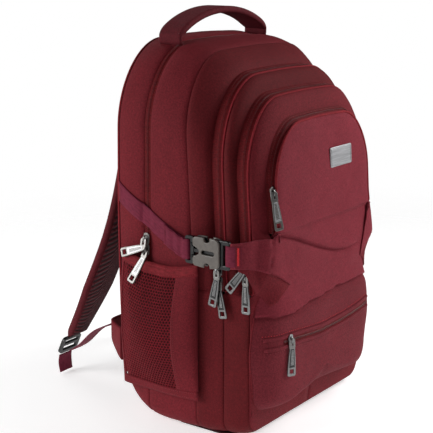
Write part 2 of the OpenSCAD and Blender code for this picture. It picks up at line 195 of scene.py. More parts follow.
def multiply(tree, a, b, amount=1.0):
    inputs = {"Factor": amount, "A": a, "B": b}
    return node(tree, "Mix", inputs, data_type="RGBA", blend_type="MULTIPLY").outputs["Result"]


def bumped(tree, shader, height, strength, distance, under=None):
    """Bump for the shader, over the bump that is under it."""
    bump = node(tree, "Bump", {"Height": height, "Strength": strength, "Distance": distance})
    if under is not None:
        feed(tree, bump, {"Normal": under})
    feed(tree, shader, {"Normal": bump.outputs["Normal"]})
    return bump.outputs["Normal"]


def fabric(name, light, dark, twill=0.0011, turn=45, sheen=0.06):
    """Woven melange cloth: light and dark yarns in a twill, with soft shade changes."""
    material, tree, shader, uv, space = start_material(name, 0.82)
    yarn = mixed(tree, noise_node(tree, space, 1300, 3), 0.3, 0.7, linear(dark), linear(light))
    weave = wave_node(tree, uv, twill, turn)
    colour = multiply(tree, yarn, greys(tree, weave, 0.1, 0.9, 0.86), 0.6)
    colour = multiply(tree, colour,
                      greys(tree, noise_node(tree, space, 430, 3), 0.32, 0.68, 0.55, 1.18), 0.55)
    colour = multiply(tree, colour, greys(tree, noise_node(tree, space, 14, 2), 0.3, 0.7, 0.86))
    feed(tree, shader, {"Base Color": colour, "Specular IOR Level": 0.2, "Sheen Weight": sheen,
                        "Sheen Roughness": 0.5, "Sheen Tint": linear([min(1, c * 1.4) for c in light])})
    fine = bumped(tree, shader, weave, 0.35, 0.0003)
    bumped(tree, shader, noise_node(tree, space, 900, 2), 0.25, 0.0003, fine)
    return material


def webbing_material(name, light, dark, period=0.0016):
    """Ribbed woven tape with a faint lengthwise sheen."""
    material, tree, shader, uv, space = start_material(name, 0.75)
    ribs = wave_node(tree, uv, period, 90)
    yarn = mixed(tree, noise_node(tree, uv, 420, 3, (0.4, 1, 1)), 0.3, 0.7, linear(dark), linear(light))
    colour = multiply(tree, yarn, greys(tree, ribs, 0.1, 0.9, 0.72), 0.7)
    colour = multiply(tree, colour, greys(tree, noise_node(tree, space, 22, 2), 0.3, 0.7, 0.86))
    feed(tree, shader, {"Base Color": colour, "Specular IOR Level": 0.2, "Sheen Weight": 0.06,
                        "Sheen Tint": linear(light)})
    bumped(tree, shader, ribs, 0.5, 0.0004)
    return material


def ribbed_mesh(name, light, dark):
    """Air mesh with diagonal ribs and open dimples between them."""
    material, tree, shader, uv, _ = start_material(name, 0.85)
    ribs = wave_node(tree, uv, 0.0055, 40)
    cells = node(tree, "TexVoronoi", {"Vector": uv, "Scale": 480}).outputs["Distance"]
    ground = mixed(tree, ribs, 0.15, 0.8, linear(dark), linear(light))
    feed(tree, shader, {"Base Color": multiply(tree, ground, greys(tree, cells, 0.1, 0.5, 0.55)),
                        "Sheen Weight": 0.08, "Sheen Tint": linear(light)})
    bumped(tree, shader, cells, 0.4, 0.0005, bumped(tree, shader, ribs, 0.7, 0.0012))
    return material


def plain_material(name, colour, roughness, scale, grain, bump=0.0):
    """Moulded or spun surface with a faint grain in colour, gloss and height."""
    material, tree, shader, _, space = start_material(name, roughness)
    speck = noise_node(tree, space, scale, 4)
    pair = [linear([max(0, min(1, c * (1 + k * grain))) for c in colour]) for k in (-1, 1)]
    gloss = node(tree, "MapRange", {"Value": speck, "To Min": max(0.02, roughness - grain * 0.5),
                                    "To Max": min(1, roughness + grain * 0.5)}).outputs["Result"]
    feed(tree, shader, {"Base Color": mixed(tree, speck, 0.3, 0.7, *pair), "Roughness": gloss})
    if bump:
        bumped(tree, shader, speck, bump, 0.0003)
    return material


def brushed_metal(name, colour, roughness):
    """Metal with fine scratches along its length."""
    material, tree, shader, _, space = start_material(name, roughness, 1.0)
    scratches = noise_node(tree, space, 900, 3, (0.04, 1, 1))
    pair = [linear([c * k for c in colour]) for k in (0.86, 1.05)]
    feed(tree, shader, {"Base Color": mixed(tree, scratches, 0.3, 0.7, *pair)})
    bumped(tree, shader, scratches, 0.25, 0.0001)
    return material


SHELL = fabric("shell_fabric", (0.50, 0.125, 0.165), (0.38, 0.07, 0.105))
# Darker copies of the shell fabric for the step and organiser gussets: painted shade for the narrow strips
# that lie in the shade of their neighbours.
STEP_FABRIC_PAINTED_SHADE = fabric("step_painted_shade", (0.45, 0.095, 0.125), (0.34, 0.055, 0.08))
INNER_FABRIC_PAINTED_SHADE = fabric("inner_step_painted_shade", (0.42, 0.072, 0.10), (0.32, 0.04, 0.062))
FRONT = fabric("front_fabric", (0.57, 0.19, 0.24), (0.44, 0.115, 0.165))
# Darker copy of the front fabric for the front below the fold and its welts: painted shade.
LOW_FRONT_PAINTED_SHADE = fabric("lower_front_painted_shade", (0.50, 0.155, 0.195), (0.385, 0.095, 0.135))
DARK_FABRIC = fabric("back_fabric", (0.24, 0.04, 0.065), (0.15, 0.02, 0.038))
TAPE = webbing_material("zip_tape", (0.47, 0.055, 0.09), (0.34, 0.03, 0.055), 0.0012)
TEETH = plain_material("zip_teeth", (0.36, 0.09, 0.10), 0.45, 900, 0.25)
PIPING = fabric("piping", (0.60, 0.15, 0.19), (0.46, 0.09, 0.12), 0.0008, 45, 0.1)
BINDING = webbing_material("binding", (0.56, 0.13, 0.17), (0.42, 0.08, 0.11), 0.0012)
WEBBING = webbing_material("webbing", (0.51, 0.155, 0.25), (0.41, 0.105, 0.19))
NET = webbing_material("net", (0.50, 0.045, 0.11), (0.39, 0.03, 0.08), 0.0012)
AIR_MESH = ribbed_mesh("air_mesh", (0.38, 0.07, 0.12), (0.17, 0.02, 0.045))
STRAP_FACE = fabric("strap_face", (0.42, 0.11, 0.15), (0.31, 0.065, 0.095))
LINING = fabric("lining", (0.42, 0.40, 0.41), (0.33, 0.31, 0.32), 0.0009, 0, 0.1)
THREAD = plain_material("thread", (0.50, 0.13, 0.165), 0.6, 1200, 0.2)
BRIGHT_THREAD = plain_material("bright_thread", (0.85, 0.10, 0.13), 0.6, 1200, 0.15)
BUCKLE = plain_material("buckle_plastic", (0.37, 0.345, 0.325), 0.36, 260, 0.08, 0.15)
BLACK = plain_material("black_plastic", (0.06, 0.055, 0.06), 0.34, 260, 0.15, 0.15)
SILVER = brushed_metal("bright_metal", (0.52, 0.51, 0.50), 0.42)
GUNMETAL = brushed_metal("gunmetal", (0.52, 0.52, 0.52), 0.3)
PLATE = brushed_metal("plate_metal", (0.73, 0.73, 0.74), 0.48)

# ---------------------------------------------------------------- mesh helpers


def smooth(t):
    t = np.clip(t, 0, 1)
    return t * t * (3 - 2 * t)


def mesh_piece(name, points, faces, material=None, uv=None, shade=True):
    """Mesh from points in millimetres. UVs are in metres, so a weave keeps its scale."""
    mesh = bpy.data.meshes.new(name)
    mesh.from_pydata((np.asarray(points, float) * MM).tolist(), [], [tuple(int(i) for i in f) for f in faces])
    if uv is not None:
        corner = np.zeros(len(mesh.loops), int)
        mesh.loops.foreach_get("vertex_index", corner)
        mesh.uv_layers.new(name="UVMap").data.foreach_set("uv", (np.asarray(uv, float) * MM)[corner].ravel())
    if shade:
        mesh.shade_smooth()
    if material:
        mesh.materials.append(material)
    return linked(name, mesh)


def grid_mesh(name, grid, material=None, ring=False):
    """Sheet through a grid of points. With ring, its last column joins its first."""
    grid = np.asarray(grid, float)
    if ring:
        grid = np.concatenate([grid, grid[:, :1]], axis=1)
    rows, cols = grid.shape[:2]
    across = np.zeros((rows, cols))
    along = np.zeros((rows, cols))
    across[:, 1:] = np.cumsum(np.linalg.norm(np.diff(grid, axis=1), axis=2), axis=1)
    along[1:] = np.cumsum(np.linalg.norm(np.diff(grid, axis=0), axis=2), axis=0)
    k = np.arange(rows * cols).reshape(rows, cols)
    faces = np.stack([k[:-1, :-1], k[:-1, 1:], k[1:, 1:], k[1:, :-1]], axis=-1).reshape(-1, 4)
    return mesh_piece(name, grid.reshape(-1, 3), faces, material,
                      np.stack([across, along], -1).reshape(-1, 2))


@contextlib.contextmanager
def edited(piece):
    """A piece's mesh as a bmesh, written back afterwards."""
    mesh = bmesh.new()
    mesh.from_mesh(piece.data)
    yield mesh
    mesh.to_mesh(piece.data)
    mesh.free()


def weld(piece, distance=0.02):
    with edited(piece) as mesh:
        bmesh.ops.remove_doubles(mesh, verts=mesh.verts, dist=distance * MM)
        bmesh.ops.recalc_face_normals(mesh, faces=mesh.faces)
    return piece


def face_away(piece, centre):
    """Turns a sheet's faces away from a point."""
    middle = Vector(centre) * MM
    with edited(piece) as mesh:
        if sum(f.normal.dot(f.calc_center_median() - middle) * f.calc_area() for f in mesh.faces) < 0:
            bmesh.ops.reverse_faces(mesh, faces=mesh.faces)
    return piece


def trim(piece, low, high):
    """Keeps the faces whose middles lie between two heights."""
    with edited(piece) as mesh:
        gone = [f for f in mesh.faces if not low * MM <= f.calc_center_median().z <= high * MM]
        bmesh.ops.delete(mesh, geom=gone, context="FACES")
    return piece


def thicken(piece, thickness, offset=-1):
    modifier = piece.modifiers.new("thickness", "SOLIDIFY")
    modifier.thickness = thickness * MM
    modifier.offset = offset
    return piece


def evaluated(thing):
    """Mesh of an object with its modifiers or its bevel applied."""
    bpy.context.view_layer.update()
    return bpy.data.meshes.new_from_object(thing.evaluated_get(bpy.context.evaluated_depsgraph_get()))


def applied(piece):
    """Applies a piece's modifiers to its mesh."""
    mesh = evaluated(piece)
    piece.modifiers.clear()
    piece.data = mesh
    return piece


def moved(piece, place):
    """Moves a piece's mesh by a matrix, or by millimetres."""
    piece.data.transform(place if isinstance(place, Matrix) else Matrix.Translation(Vector(place) * MM))
    return piece


def turn(degrees, axis):
    return Matrix.Rotation(math.radians(degrees), 4, axis)


def joined(name, parts):
    """One piece from several, each keeping its own material."""
    mesh = bpy.data.meshes.new(name)
    whole = bmesh.new()
    for part in parts:
        for old in part.data.materials:
            if old.name not in mesh.materials:
                mesh.materials.append(old)
        slots = [mesh.materials.find(old.name) for old in part.data.materials]
        fresh = part.data.copy()
        for face in fresh.polygons:
            face.material_index = slots[face.material_index]
        whole.from_mesh(fresh)
        bpy.data.meshes.remove(fresh)
        bpy.data.objects.remove(part)
    whole.to_mesh(mesh)
    whole.free()
    return linked(name, mesh)


def wobble(points, reach, seed=0.0):
    """Smooth noise from -1 to 1 at each point, with features about reach millimetres wide."""
    shift = Vector((seed, 3.1 * seed, 7.7))
    values = [noise.noise(Vector(p) / reach + shift) for p in np.asarray(points).reshape(-1, 3)]
    return np.array(values).reshape(np.asarray(points).shape[:-1])


def resample(path, step):
    """Points along a path at an even step, and the place of each among the path's own points."""
    path = np.asarray(path, float)
    place = np.concatenate([[0], np.cumsum(np.linalg.norm(np.diff(path, axis=0), axis=1))])
    at = np.linspace(0, place[-1], max(2, int(round(place[-1] / step)) + 1))
    points = np.column_stack([np.interp(at, place, path[:, i]) for i in range(3)])
    return points, np.interp(at, place, np.arange(len(path)))


def rounded_path(points, step, turns=3):
    """Smooth path through rough points, by cutting its corners."""
    path = np.asarray(points, float)
    for _ in range(turns):
        a, b = path[:-1], path[1:]
        cut = np.stack([a * 0.75 + b * 0.25, a * 0.25 + b * 0.75], axis=1).reshape(-1, path.shape[1])
        path = np.vstack([path[:1], cut, path[-1:]])
    return resample(path, step)[0]


def unit(vectors):
    return vectors / np.linalg.norm(vectors, axis=-1, keepdims=True)


def sweep(name, path, side, profile, material, scale=None):
    """Closed tube of a profile, as [across, out] points, along a path. side is roughly across."""
    path = np.asarray(path, float)
    tangent = unit(np.gradient(path, axis=0))
    across = np.broadcast_to(np.asarray(side, float), path.shape)
    across = unit(across - tangent * np.sum(across * tangent, axis=1, keepdims=True))
    out = np.cross(tangent, across)
    profile = np.asarray(profile, float)
    scale = np.ones((len(path), 2)) if scale is None else np.asarray(scale, float)
    grid = (path[:, None] + across[:, None] * (profile[None, :, :1] * scale[:, None, :1])
            + out[:, None] * (profile[None, :, 1:] * scale[:, None, 1:]))
    ends = [np.repeat(path[i][None, None], len(profile), 1) for i in (0, -1)]
    return weld(grid_mesh(name, np.concatenate([ends[0], grid, ends[1]]), material, ring=True), 0.001)


def rounded_bar(width, thickness, radius, count=5):
    """Rounded rectangle as a profile, middle at the origin."""
    radius = min(radius, width / 2 - 0.01, thickness / 2 - 0.01)
    points = []
    for q, (sx, sy) in enumerate([(1, 1), (-1, 1), (-1, -1), (1, -1)]):
        for a in np.radians(np.linspace(90 * q, 90 * q + 90, count)):
            points.append((sx * (width / 2 - radius) + radius * math.cos(a),
                           sy * (thickness / 2 - radius) + radius * math.sin(a)))
        if q in (0, 2):
            start, end = points[-1], (-points[-1][0], points[-1][1])
            points += [(start[0] + (end[0] - start[0]) * k / 7, start[1]) for k in range(1, 7)]
    return points


def round_profile(radius, count):
    a = np.linspace(0, 2 * math.pi, count, endpoint=False)
    return np.column_stack([np.cos(a), np.sin(a)]) * radius


BAR_POINTS = np.array([(-1, 0, 0), (-0.6, -1, 0), (0.6, -1, 0), (1, 0, 0), (0.6, 1, 0), (-0.6, 1, 0),
                       (-0.5, 0, 1), (0.5, 0, 1)])
BAR_FACES = [(0, 1, 6), (1, 2, 7, 6), (2, 3, 7), (3, 4, 7), (4, 5, 6, 7), (5, 0, 6)]


def little_bars(name, path, out, step, size, material, shift=0.0, twist=0.0):
    """Row of small rounded bars along a path, such as stitches or zip teeth. size is along, across, up."""
    path = np.asarray(path, float)
    points, place = resample(path, step)
    out = np.broadcast_to(out, path.shape)
    out = np.column_stack([np.interp(place, np.arange(len(path)), out[:, i]) for i in range(3)])
    tangent = unit(np.gradient(points, axis=0))
    across = unit(np.cross(tangent, out))
    out = np.cross(across, tangent)
    c, s = math.cos(twist), math.sin(twist)
    tangent, across = tangent * c + across * s, across * c - tangent * s
    local = BAR_POINTS * np.array(size) / 2 * [1, 1, 2]
    verts = (points[:, None] + tangent[:, None] * local[None, :, :1]
             + across[:, None] * (local[None, :, 1:2] + shift) + out[:, None] * local[None, :, 2:])
    faces = [[8 * i + k for k in face] for i in range(len(points)) for face in BAR_FACES]
    return mesh_piece(name, verts.reshape(-1, 3), faces, material, shade=False)


def tooth_rows(name, path, out):
    """The two interlocking rows of a zip's teeth."""
    return [little_bars(f"{name}_teeth_{s}", path, out, 1.5, (0.85, 1.5, 0.75), TEETH, s * 0.7, s * 0.16)
            for s in (-1, 1)]


def plate(name, loops, thickness, bevel, material, segments=2):
    """Flat part drawn in X and Z: first loop outside, the rest holes. Rounded edges, centred on Y = 0."""
    curve = bpy.data.curves.new(name, "CURVE")
    curve.dimensions = "2D"
    curve.fill_mode = "BOTH"
    curve.extrude = max(thickness / 2 - bevel, 0) * MM
    curve.bevel_depth = bevel * MM
    curve.bevel_resolution = segments
    for loop in loops:
        spline = curve.splines.new("POLY")
        spline.points.add(len(loop) - 1)
        for point, (x, z) in zip(spline.points, loop):
            point.co = (x * MM, z * MM, 0, 1)
        spline.use_cyclic_u = True
    holder = linked(name + "_curve", curve)
    mesh = evaluated(holder)
    mesh.name = name
    bpy.data.objects.remove(holder)
    mesh.materials.clear()
    mesh.materials.append(material)
    return weld(moved(linked(name, mesh), turn(90, "X")), 0.002)


def rounded_loop(low, high, radius, count=6):
    """Rounded rectangle from corner to corner."""
    points = []
    for x, z, start in ((low[0], low[1], 180), (high[0], low[1], 270), (high[0], high[1], 0),
                        (low[0], high[1], 90)):
        cx = x + radius if start in (180, 90) else x - radius
        cz = z + radius if start in (180, 270) else z - radius
        for i in range(count + 1):
            a = math.radians(start + 90 * i / count)
            points.append((cx + radius * math.cos(a), cz + radius * math.sin(a)))
    return points


def mirrored(name, piece):
    """Copy of a piece on the other side of the bag."""
    mesh = piece.data.copy()
    mesh.transform(Matrix.Scale(-1, 4, (1, 0, 0)))
    mesh.flip_normals()
    other = linked(name, mesh)
    for old in piece.modifiers:
        new = other.modifiers.new(old.name, old.type)
        new.thickness, new.offset = old.thickness, old.offset
    return other


# ---------------------------------------------------------------- shape of the bag

BEND_Z = 150
ZIP_END = 188
FOLD_Z = 262
BACK, ZIP1, SEAM = (112, -0.021), (62, -0.014), (-12, 0.055)
ZIP2, ZIP3, ZIP4 = (-48, 0.048), (-82.5, 0.067), (-108, 0.066)

# Plane, depth from it, then half width above and at the base, top, corner width and height, crown
STATIONS = {
    "back": (BACK, 0, 146, 139, 482, 80, 98, 10),
    "zip1_rear": (ZIP1, 4.7, 150, 149.5, 481, 80, 98, 9),
    "zip1_front": (ZIP1, -4.7, 150, 149.5, 481, 80, 98, 9),
    "seam": (SEAM, 0, 150, 148, 473, 78, 98, 8),
    "zip2_rear": (ZIP2, 8, 141, 139.5, 450, 80, 106, 8),
    "zip2_front": (ZIP2, -8, 139.5, 139.5, 445, 78, 102, 7),
    "zip3_rear": (ZIP3, 8, 135.5, 134, 427, 74, 96, 7),
    "zip3_front": (ZIP3, -8, 133.5, 134, 421, 72, 94, 7),
    "zip4_rear": (ZIP4, 5, 117, 132.5, 399, 62, 76, 7),
    "flap": (ZIP4, -4.5, 110, 132, 391, 58, 72, 7),
}
BANDED = ("seam", "zip2_front", "zip3_front")


def plane_y(plane, z):
    return plane[0] + plane[1] * np.maximum(np.asarray(z, float) - BEND_Z, 0)


def open_share(z, plane):
    """1 where the zips run, 0 below their ends. The front pocket's zip ends at the fold."""
    return smooth((np.asarray(z, float) - (FOLD_Z if plane is ZIP4 else ZIP_END) + 5) / 9)


def underside(y):
    """Height of the bag's underside: flat in the middle, curving up to the back and front."""
    rear = np.clip((np.asarray(y, float) - 42) / 71, 0, 1)
    front = np.clip((-48 - np.asarray(y, float)) / 64, 0, 1)
    return 3 + 55 * (1 - np.sqrt(1 - rear * rear)) + 42 * (1 - np.sqrt(1 - front * front))


def set_back(z):
    """How far the front panel's edge lies back from its plane, low on the bag."""
    return 22 * (1 - smooth((np.asarray(z, float) - 165) / 60))


def waist(z):
    """Change of the front's half width: drawn in at the fold and fuller round the lower pocket."""
    z = np.asarray(z, float)
    return 6 * np.exp(-((z - 112) / 30) ** 2) - 8 * np.exp(-((z - 188) / 28) ** 2)


def outline(w, base_w, top, rx, rz, crown, low, low_r, widen, dense):
    """Arch outline in X and Z from the middle of the bottom, round by -X, back to the middle."""
    zc = top - crown - rz
    a = np.radians(np.linspace(0, 90, 8))
    n = 12 * dense
    bottom = np.column_stack([np.linspace(0, low_r - base_w, n, endpoint=False), np.full(n, low)])
    corner = np.column_stack([low_r - base_w - low_r * np.sin(a), low + low_r * (1 - np.cos(a))])
    z = np.concatenate([np.linspace(low + low_r, 182, 18 * dense)[1:],
                        [184.6, 186.2, 187.2, 187.8, 188.4, 189.4, 191],
                        np.linspace(194, zc, 36 * dense)[:-1]])
    side = np.column_stack([-(base_w + (w - base_w) * smooth((z - widen[0]) / (widen[1] - widen[0]))), z])
    g = np.radians(np.linspace(180, 90, 26 * dense))
    x = -w + rx + rx * np.cos(g)
    arc = np.column_stack([x, zc + rz * np.sin(g) + crown * np.sin(g) * (1 - (x / w) ** 2)])
    x = np.linspace(rx - w, 0, 15 * dense)[1:]
    crest = np.column_stack([x, top - crown * (x / w) ** 2])
    left = np.vstack([bottom, corner, side, arc, crest])
    return np.vstack([left, left[::-1][1:] * [-1, 1]])


def rim(station, dense=1, dy=0.0):
    """Points of a station's outline and their outward directions, both in space."""
    plane, depth, *dims = STATIONS[station]
    in_front = plane is ZIP4
    low = float(underside(plane[0])) + (6 if in_front else 0)
    flat = outline(*dims, low, 26 if in_front or plane is BACK else 20,
                   (172, 285) if in_front else (40, 300), dense)
    step = np.gradient(flat, axis=0)
    step[0] = step[-1] = (step[0] + step[-1]) / 2
    out = unit(np.column_stack([-step[:, 1], step[:, 0]]))
    y = plane_y(plane, flat[:, 1]) + depth * open_share(flat[:, 1], plane) + dy
    if in_front:
        y = y + set_back(flat[:, 1])
        flat[:, 0] += np.sign(flat[:, 0]) * waist(flat[:, 1]) * smooth(np.abs(flat[:, 0]) / 120)
    return np.column_stack([flat[:, 0], y, flat[:, 1]]), np.column_stack([out[:, 0], 0 * y, out[:, 1]])


def above(points, height, *others):
    """The run of an outline that lies above a height."""
    keep = points[:, 2] >= height
    return [p[keep] for p in (points, *others)]


def gusset(name, rear, front, bulge, roll_rear, roll_front, seed, material=SHELL):
    """Fabric strip between two stations. It rolls inward at its edges and swells between them."""
    (a, na), (b, nb) = rim(front), rim(rear)
    width = np.abs(b[:, 1] - a[:, 1])[:, None] + 1e-6
    edge = np.array([0, 0.6, 1.4, 2.6, 4.2, 6.5])
    near = edge[None] / np.maximum(width, 2.6 * edge[-1])
    inner = near[:, -1:] + (1 - 2 * near[:, -1:]) * np.linspace(0, 1, 10)[None, 1:-1]
    t = np.concatenate([near, inner, 1 - near[:, ::-1]], axis=1)
    share = t[:, :, None]
    out = unit(na[:, None] * (1 - share) + nb[:, None] * share)
    grid = a[:, None] * (1 - share) + b[:, None] * share
    z = grid[..., 2]
    rolled = 0
    for roll, distance, station in ((roll_front, t * width, front), (roll_rear, (1 - t) * width, rear)):
        open_here = open_share(z, STATIONS[station][0])
        depth = 1.1 + (roll - 1.1) * open_here
        rolled = rolled + depth * np.exp(-(distance / (1.2 + 1.5 * open_here)) ** 1.3)
    swell = bulge * (0.45 + 0.55 * smooth((z - 190) / 60)) * np.sin(np.pi * t) ** 0.7
    bands = 0.9 * (rear in BANDED) * np.maximum(0, 1 - ((z - ZIP_END) / 1.3) ** 2)
    creases = 0.9 * wobble(grid, 46, seed) + 0.35 * wobble(grid, 15, seed + 5)
    fixed = np.minimum(1, np.minimum(t, 1 - t) * width / 6)
    grid = grid + out * (swell - rolled - bands + creases * fixed)[..., None]
    straight = float(underside(a[0, 1])) * (1 - t) + float(underside(b[0, 1])) * t
    grid[..., 2] += (underside(grid[..., 1]) - straight) * (1 - smooth((z - straight) / 90))
    return thicken(face_away(grid_mesh(name, grid, material),
                             (0, (a[:, 1].mean() + b[:, 1].mean()) / 2, 240)), 2.6)


def zip_band(name, rear, front, sink, end=ZIP_END):
    """Rear and front half of a zip between two gussets: tape, interlocked teeth and seams."""
    (a, na), (b, nb) = rim(front), rim(rear)
    a, na, b, nb = above(a, end, na, b, nb)
    tapes = []
    for part, low, high in (("rear", 0.46, 1.04), ("front", -0.04, 0.54)):
        t = np.linspace(low, high, 7)[None, :, None]
        dip = sink + 0.5 - 0.9 * np.exp(-((t - 0.5) / 0.16) ** 2)
        grid = a[:, None] * (1 - t) + b[:, None] * t - (na[:, None] * (1 - t) + nb[:, None] * t) * dip
        tapes.append(face_away(grid_mesh(f"{name}_tape_{part}", grid, TAPE), (0, float(a[:, 1].mean()), 240)))
    out = na * 0.5 + nb * 0.5
    teeth = tooth_rows(name, a * 0.5 + b * 0.5 - out * (sink - 0.2), out)
    front_seam, rear_seam = [stitches(a * (1 - k) + b * k - out * (sink + 0.35), out, 3.0, (1.9, 0.4, 0.3))
                             for k in (0.2, 0.8)]
    return (joined(f"{name}_rear_half", [tapes[0], *teeth, rear_seam]),
            joined(f"{name}_front_half", [tapes[1], front_seam]))


def piping(name, station, radius, inset, dy, end=ZIP_END, material=PIPING):
    """Covered cord sewn into a seam along a station's outline."""
    points, out = rim(station, dy=dy)
    points, out = above(points, end, out)
    path = resample(points - out * inset, 3.2)[0]
    tangent = unit(np.gradient(path, axis=0))
    side = np.array((0.0, 1.0, 0.0)) - tangent * tangent[:, 1:2]
    normal = np.cross(tangent, side)
    profile = round_profile(radius, 9)
    grid = path[:, None] + side[:, None] * profile[None, :, :1] + normal[:, None] * profile[None, :, 1:]
    return grid_mesh(name, grid, material, ring=True)


def fill_outline(station, dense, spine, rows=34, dy=0.0):
    """Grid over the area inside a station's outline: rings from its edge to an upright spine."""
    points, _ = rim(station, dense, dy)
    centre_z = np.clip(points[:, 2], *spine)
    plane, depth, *_ = STATIONS[station]
    centre_y = plane_y(plane, centre_z) + depth * open_share(centre_z, plane) + dy
    if plane is ZIP4:
        centre_y = centre_y + set_back(centre_z)
    centre = np.column_stack([points[:, 0] * 0, centre_y, centre_z])
    reach = np.linalg.norm(points - centre, axis=1)[:, None] + 1e-6
    near = np.cumsum([0, 0.5, 0.7, 0.9, 1.2, 1.6, 2.2, 3])[None] / reach
    inner = near[:, -1:] + (1 - near[:, -1:]) * np.linspace(0, 1, rows)[None, 1:]
    t = np.concatenate([near, inner], axis=1)
    return points[:, None] * (1 - t[:, :, None]) + centre[:, None] * t[:, :, None], t * reach


def panel(name, station, dy, crown, material, thickness, inset=0):
    """Padded sheet that fills a station's outline, crowned towards the front by crown."""
    grid, inward = fill_outline(station, 1, (90, 300), 12, dy)
    low, high = grid[..., 2].min(), grid[..., 2].max()
    middle = np.array([0, 0, (low + high) / 2])
    grid = middle + (grid - middle) * [1 - inset / grid[..., 0].max(), 1, 1 - inset / ((high - low) / 2)]
    grid[..., 1] -= crown * smooth(inward / 60) + 0.5 * wobble(grid, 60, 2)
    return thicken(weld(grid_mesh(name, grid, material)), thickness, 0)


def seam_height(x):
    """Height of the wavy seam across the front."""
    return np.interp(x, [-125, -103, -70, -41, -12, 15, 45, 77, 110],
                     [262, 258, 248, 236.5, 225.5, 217, 212, 212.5, 217])


def fold_height(x):
    """Height of the folded edge above the lower pocket."""
    x = np.asarray(x, float)
    return 166 - 6 * smooth((-x - 20) / 90) + 2.0 * np.sin(x / 34 + 0.8) + 0.8 * np.sin(x / 11)


def front_points(grid, inward):
    """Swells the front panel and presses its seams and folds into it."""
    x, z = grid[..., 0], grid[..., 2]
    rounding = 1 - np.exp(-(inward / 5.5) ** 0.85)
    swell = 3.2 * rounding + 1.6 * smooth(inward / 70) + set_back(z) * (1 - np.exp(-(inward / 17) ** 1.2))
    upper = z - seam_height(x)
    fade = 1 - smooth((x - 62) / 26)
    wave = 4.2 * fade * np.exp(-(upper / np.where(upper > 0, 1.5, 3.4)) ** 2)
    lip = fade * (2.2 * np.exp(-((upper - 7) / 8.0) ** 2) + 1.2 * np.exp(-((upper + 14) / 9.0) ** 2))
    fold = z - fold_height(x)
    below, over = np.maximum(-fold, 0), np.maximum(fold, 0)
    shelf = 0.6 * np.exp(-below / 22) * (fold <= 0)
    crease = 5.2 * np.exp(-(below / 4.5) ** 1.2) * (fold <= 0) - 1.6 * np.exp(-(over / 9) ** 2) * (fold > 0)
    soft = 1.7 * wobble(grid, 58, 11) + 0.6 * wobble(grid, 21, 12)
    pull = 0.8 * np.exp(-((z - 205) / 20) ** 2) * np.sin(x / 17 + z / 12)
    grid = grid.copy()
    grid[..., 1] -= swell - wave + lip + shelf - crease + (soft + pull) * rounding
    return grid


def stitches(path, out, step, size, material=THREAD):
    return little_bars("stitches", path, out, step, size, material)


# ---------------------------------------------------------------- bag

add_camera()


def put(piece, body, *nodes, slot):
    """Lets a piece ride on a body and stand for CAD nodes."""
    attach(piece, body)
    if nodes:
        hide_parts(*nodes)
    return piece


def bend(piece, a, b, start, end, *nodes, slot):
    """Applies a piece's modifiers, bakes its transform and hides the CAD nodes it stands for. The two bodies
    and the two points in millimetres are not used.
    """
    if piece.modifiers:
        applied(piece)
    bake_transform(piece)
    if nodes:
        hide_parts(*nodes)
    return piece


def bend_front(piece, *nodes, slot):
    """Hands a piece to bend, with the bag, the front section and two points over its fold, which bend does
    not use.
    """
    return bend(piece, "bag", "front_section", (0, -100, 257), (0, -100, 300), *nodes, slot=slot)


def bend_flap(piece, *nodes, slot):
    """Hands a piece to bend, with the front section, the front pocket's flap and two points, which bend does
    not use.
    """
    return bend(piece, "front_section", "front_pocket_flap", (0, -108, 262.5), (0, -108, 284),
                *nodes, slot=slot)


# The step and organiser gussets take the darker copies of the shell fabric, which are painted shade.
gussets = [
    gusset("rear_gusset", "back", "zip1_rear", 3.0, 1.4, 1.4, 1),
    gusset("main_gusset", "zip1_front", "seam", 3.0, 1.4, 1.8, 2),
    gusset("step_gusset", "seam", "zip2_rear", 3.4, 1.8, 4.6, 3, STEP_FABRIC_PAINTED_SHADE),
    gusset("organiser_gusset", "zip2_front", "zip3_rear", 3.0, 1.6, 4.4, 4, INNER_FABRIC_PAINTED_SHADE),
    gusset("front_gusset", "zip3_front", "zip4_rear", 2.6, 1.6, 4.0, 5),
]
put(gussets[0], "bag", "rear_shell", slot="shell")
put(gussets[1], "bag", "main_shell", slot="shell")
put(gussets[2], "bag", slot="shell")
bend_front(gussets[3], "organiser_shell_lower", "organiser_shell_upper", slot="shell")
bend_front(gussets[4], "front_shell_upper", "front_shell_mid", slot="shell")

rear_band = joined("rear_zip_band", zip_band("rear_zip", "zip1_rear", "zip1_front", 0.9))
put(rear_band, "bag", "rear_zip", slot="zip")
rear_half, front_half = zip_band("main_zip", "zip2_rear", "zip2_front", 2.4)
put(rear_half, "bag", "main_zip", slot="zip")
bend_front(front_half, slot="zip")
bend_front(piping("main_piping", "zip2_front", 1.35, 1.0, 1.3), slot="front")
for half in zip_band("organiser_zip", "zip3_rear", "zip3_front", 2.4):
    bend_front(half, slot="zip")
bend_front(piping("organiser_piping", "zip3_front", 1.35, 1.0, 1.3), slot="front")
rear_half, front_half = zip_band("front_zip", "zip4_rear", "flap", 1.8, 260)
put(rear_half, "front_section", "front_zip", slot="zip")
bend_flap(front_half, slot="zip")

# The front panel: a flap above the fold, and the lower front, tucked in behind the flap's lower edge

front_grid = front_points(*fill_outline("flap", 3, (70, 286)))
flap = trim(grid_mesh("front_flap_cover", front_grid, FRONT), FOLD_Z, 600)
lower_front = trim(grid_mesh("front_lower", front_grid, FRONT), -10, FOLD_Z + 6)
for piece in (flap, lower_front):
    face_away(weld(piece), (0, 0, 240))
tucked = np.array([v.co for v in lower_front.data.vertices])
tucked[:, 1] += 1.6 * MM * np.clip((tucked[:, 2] / MM - FOLD_Z) / 6, 0, 1) ** 2
lower_front.data.vertices.foreach_set("co", tucked.ravel())
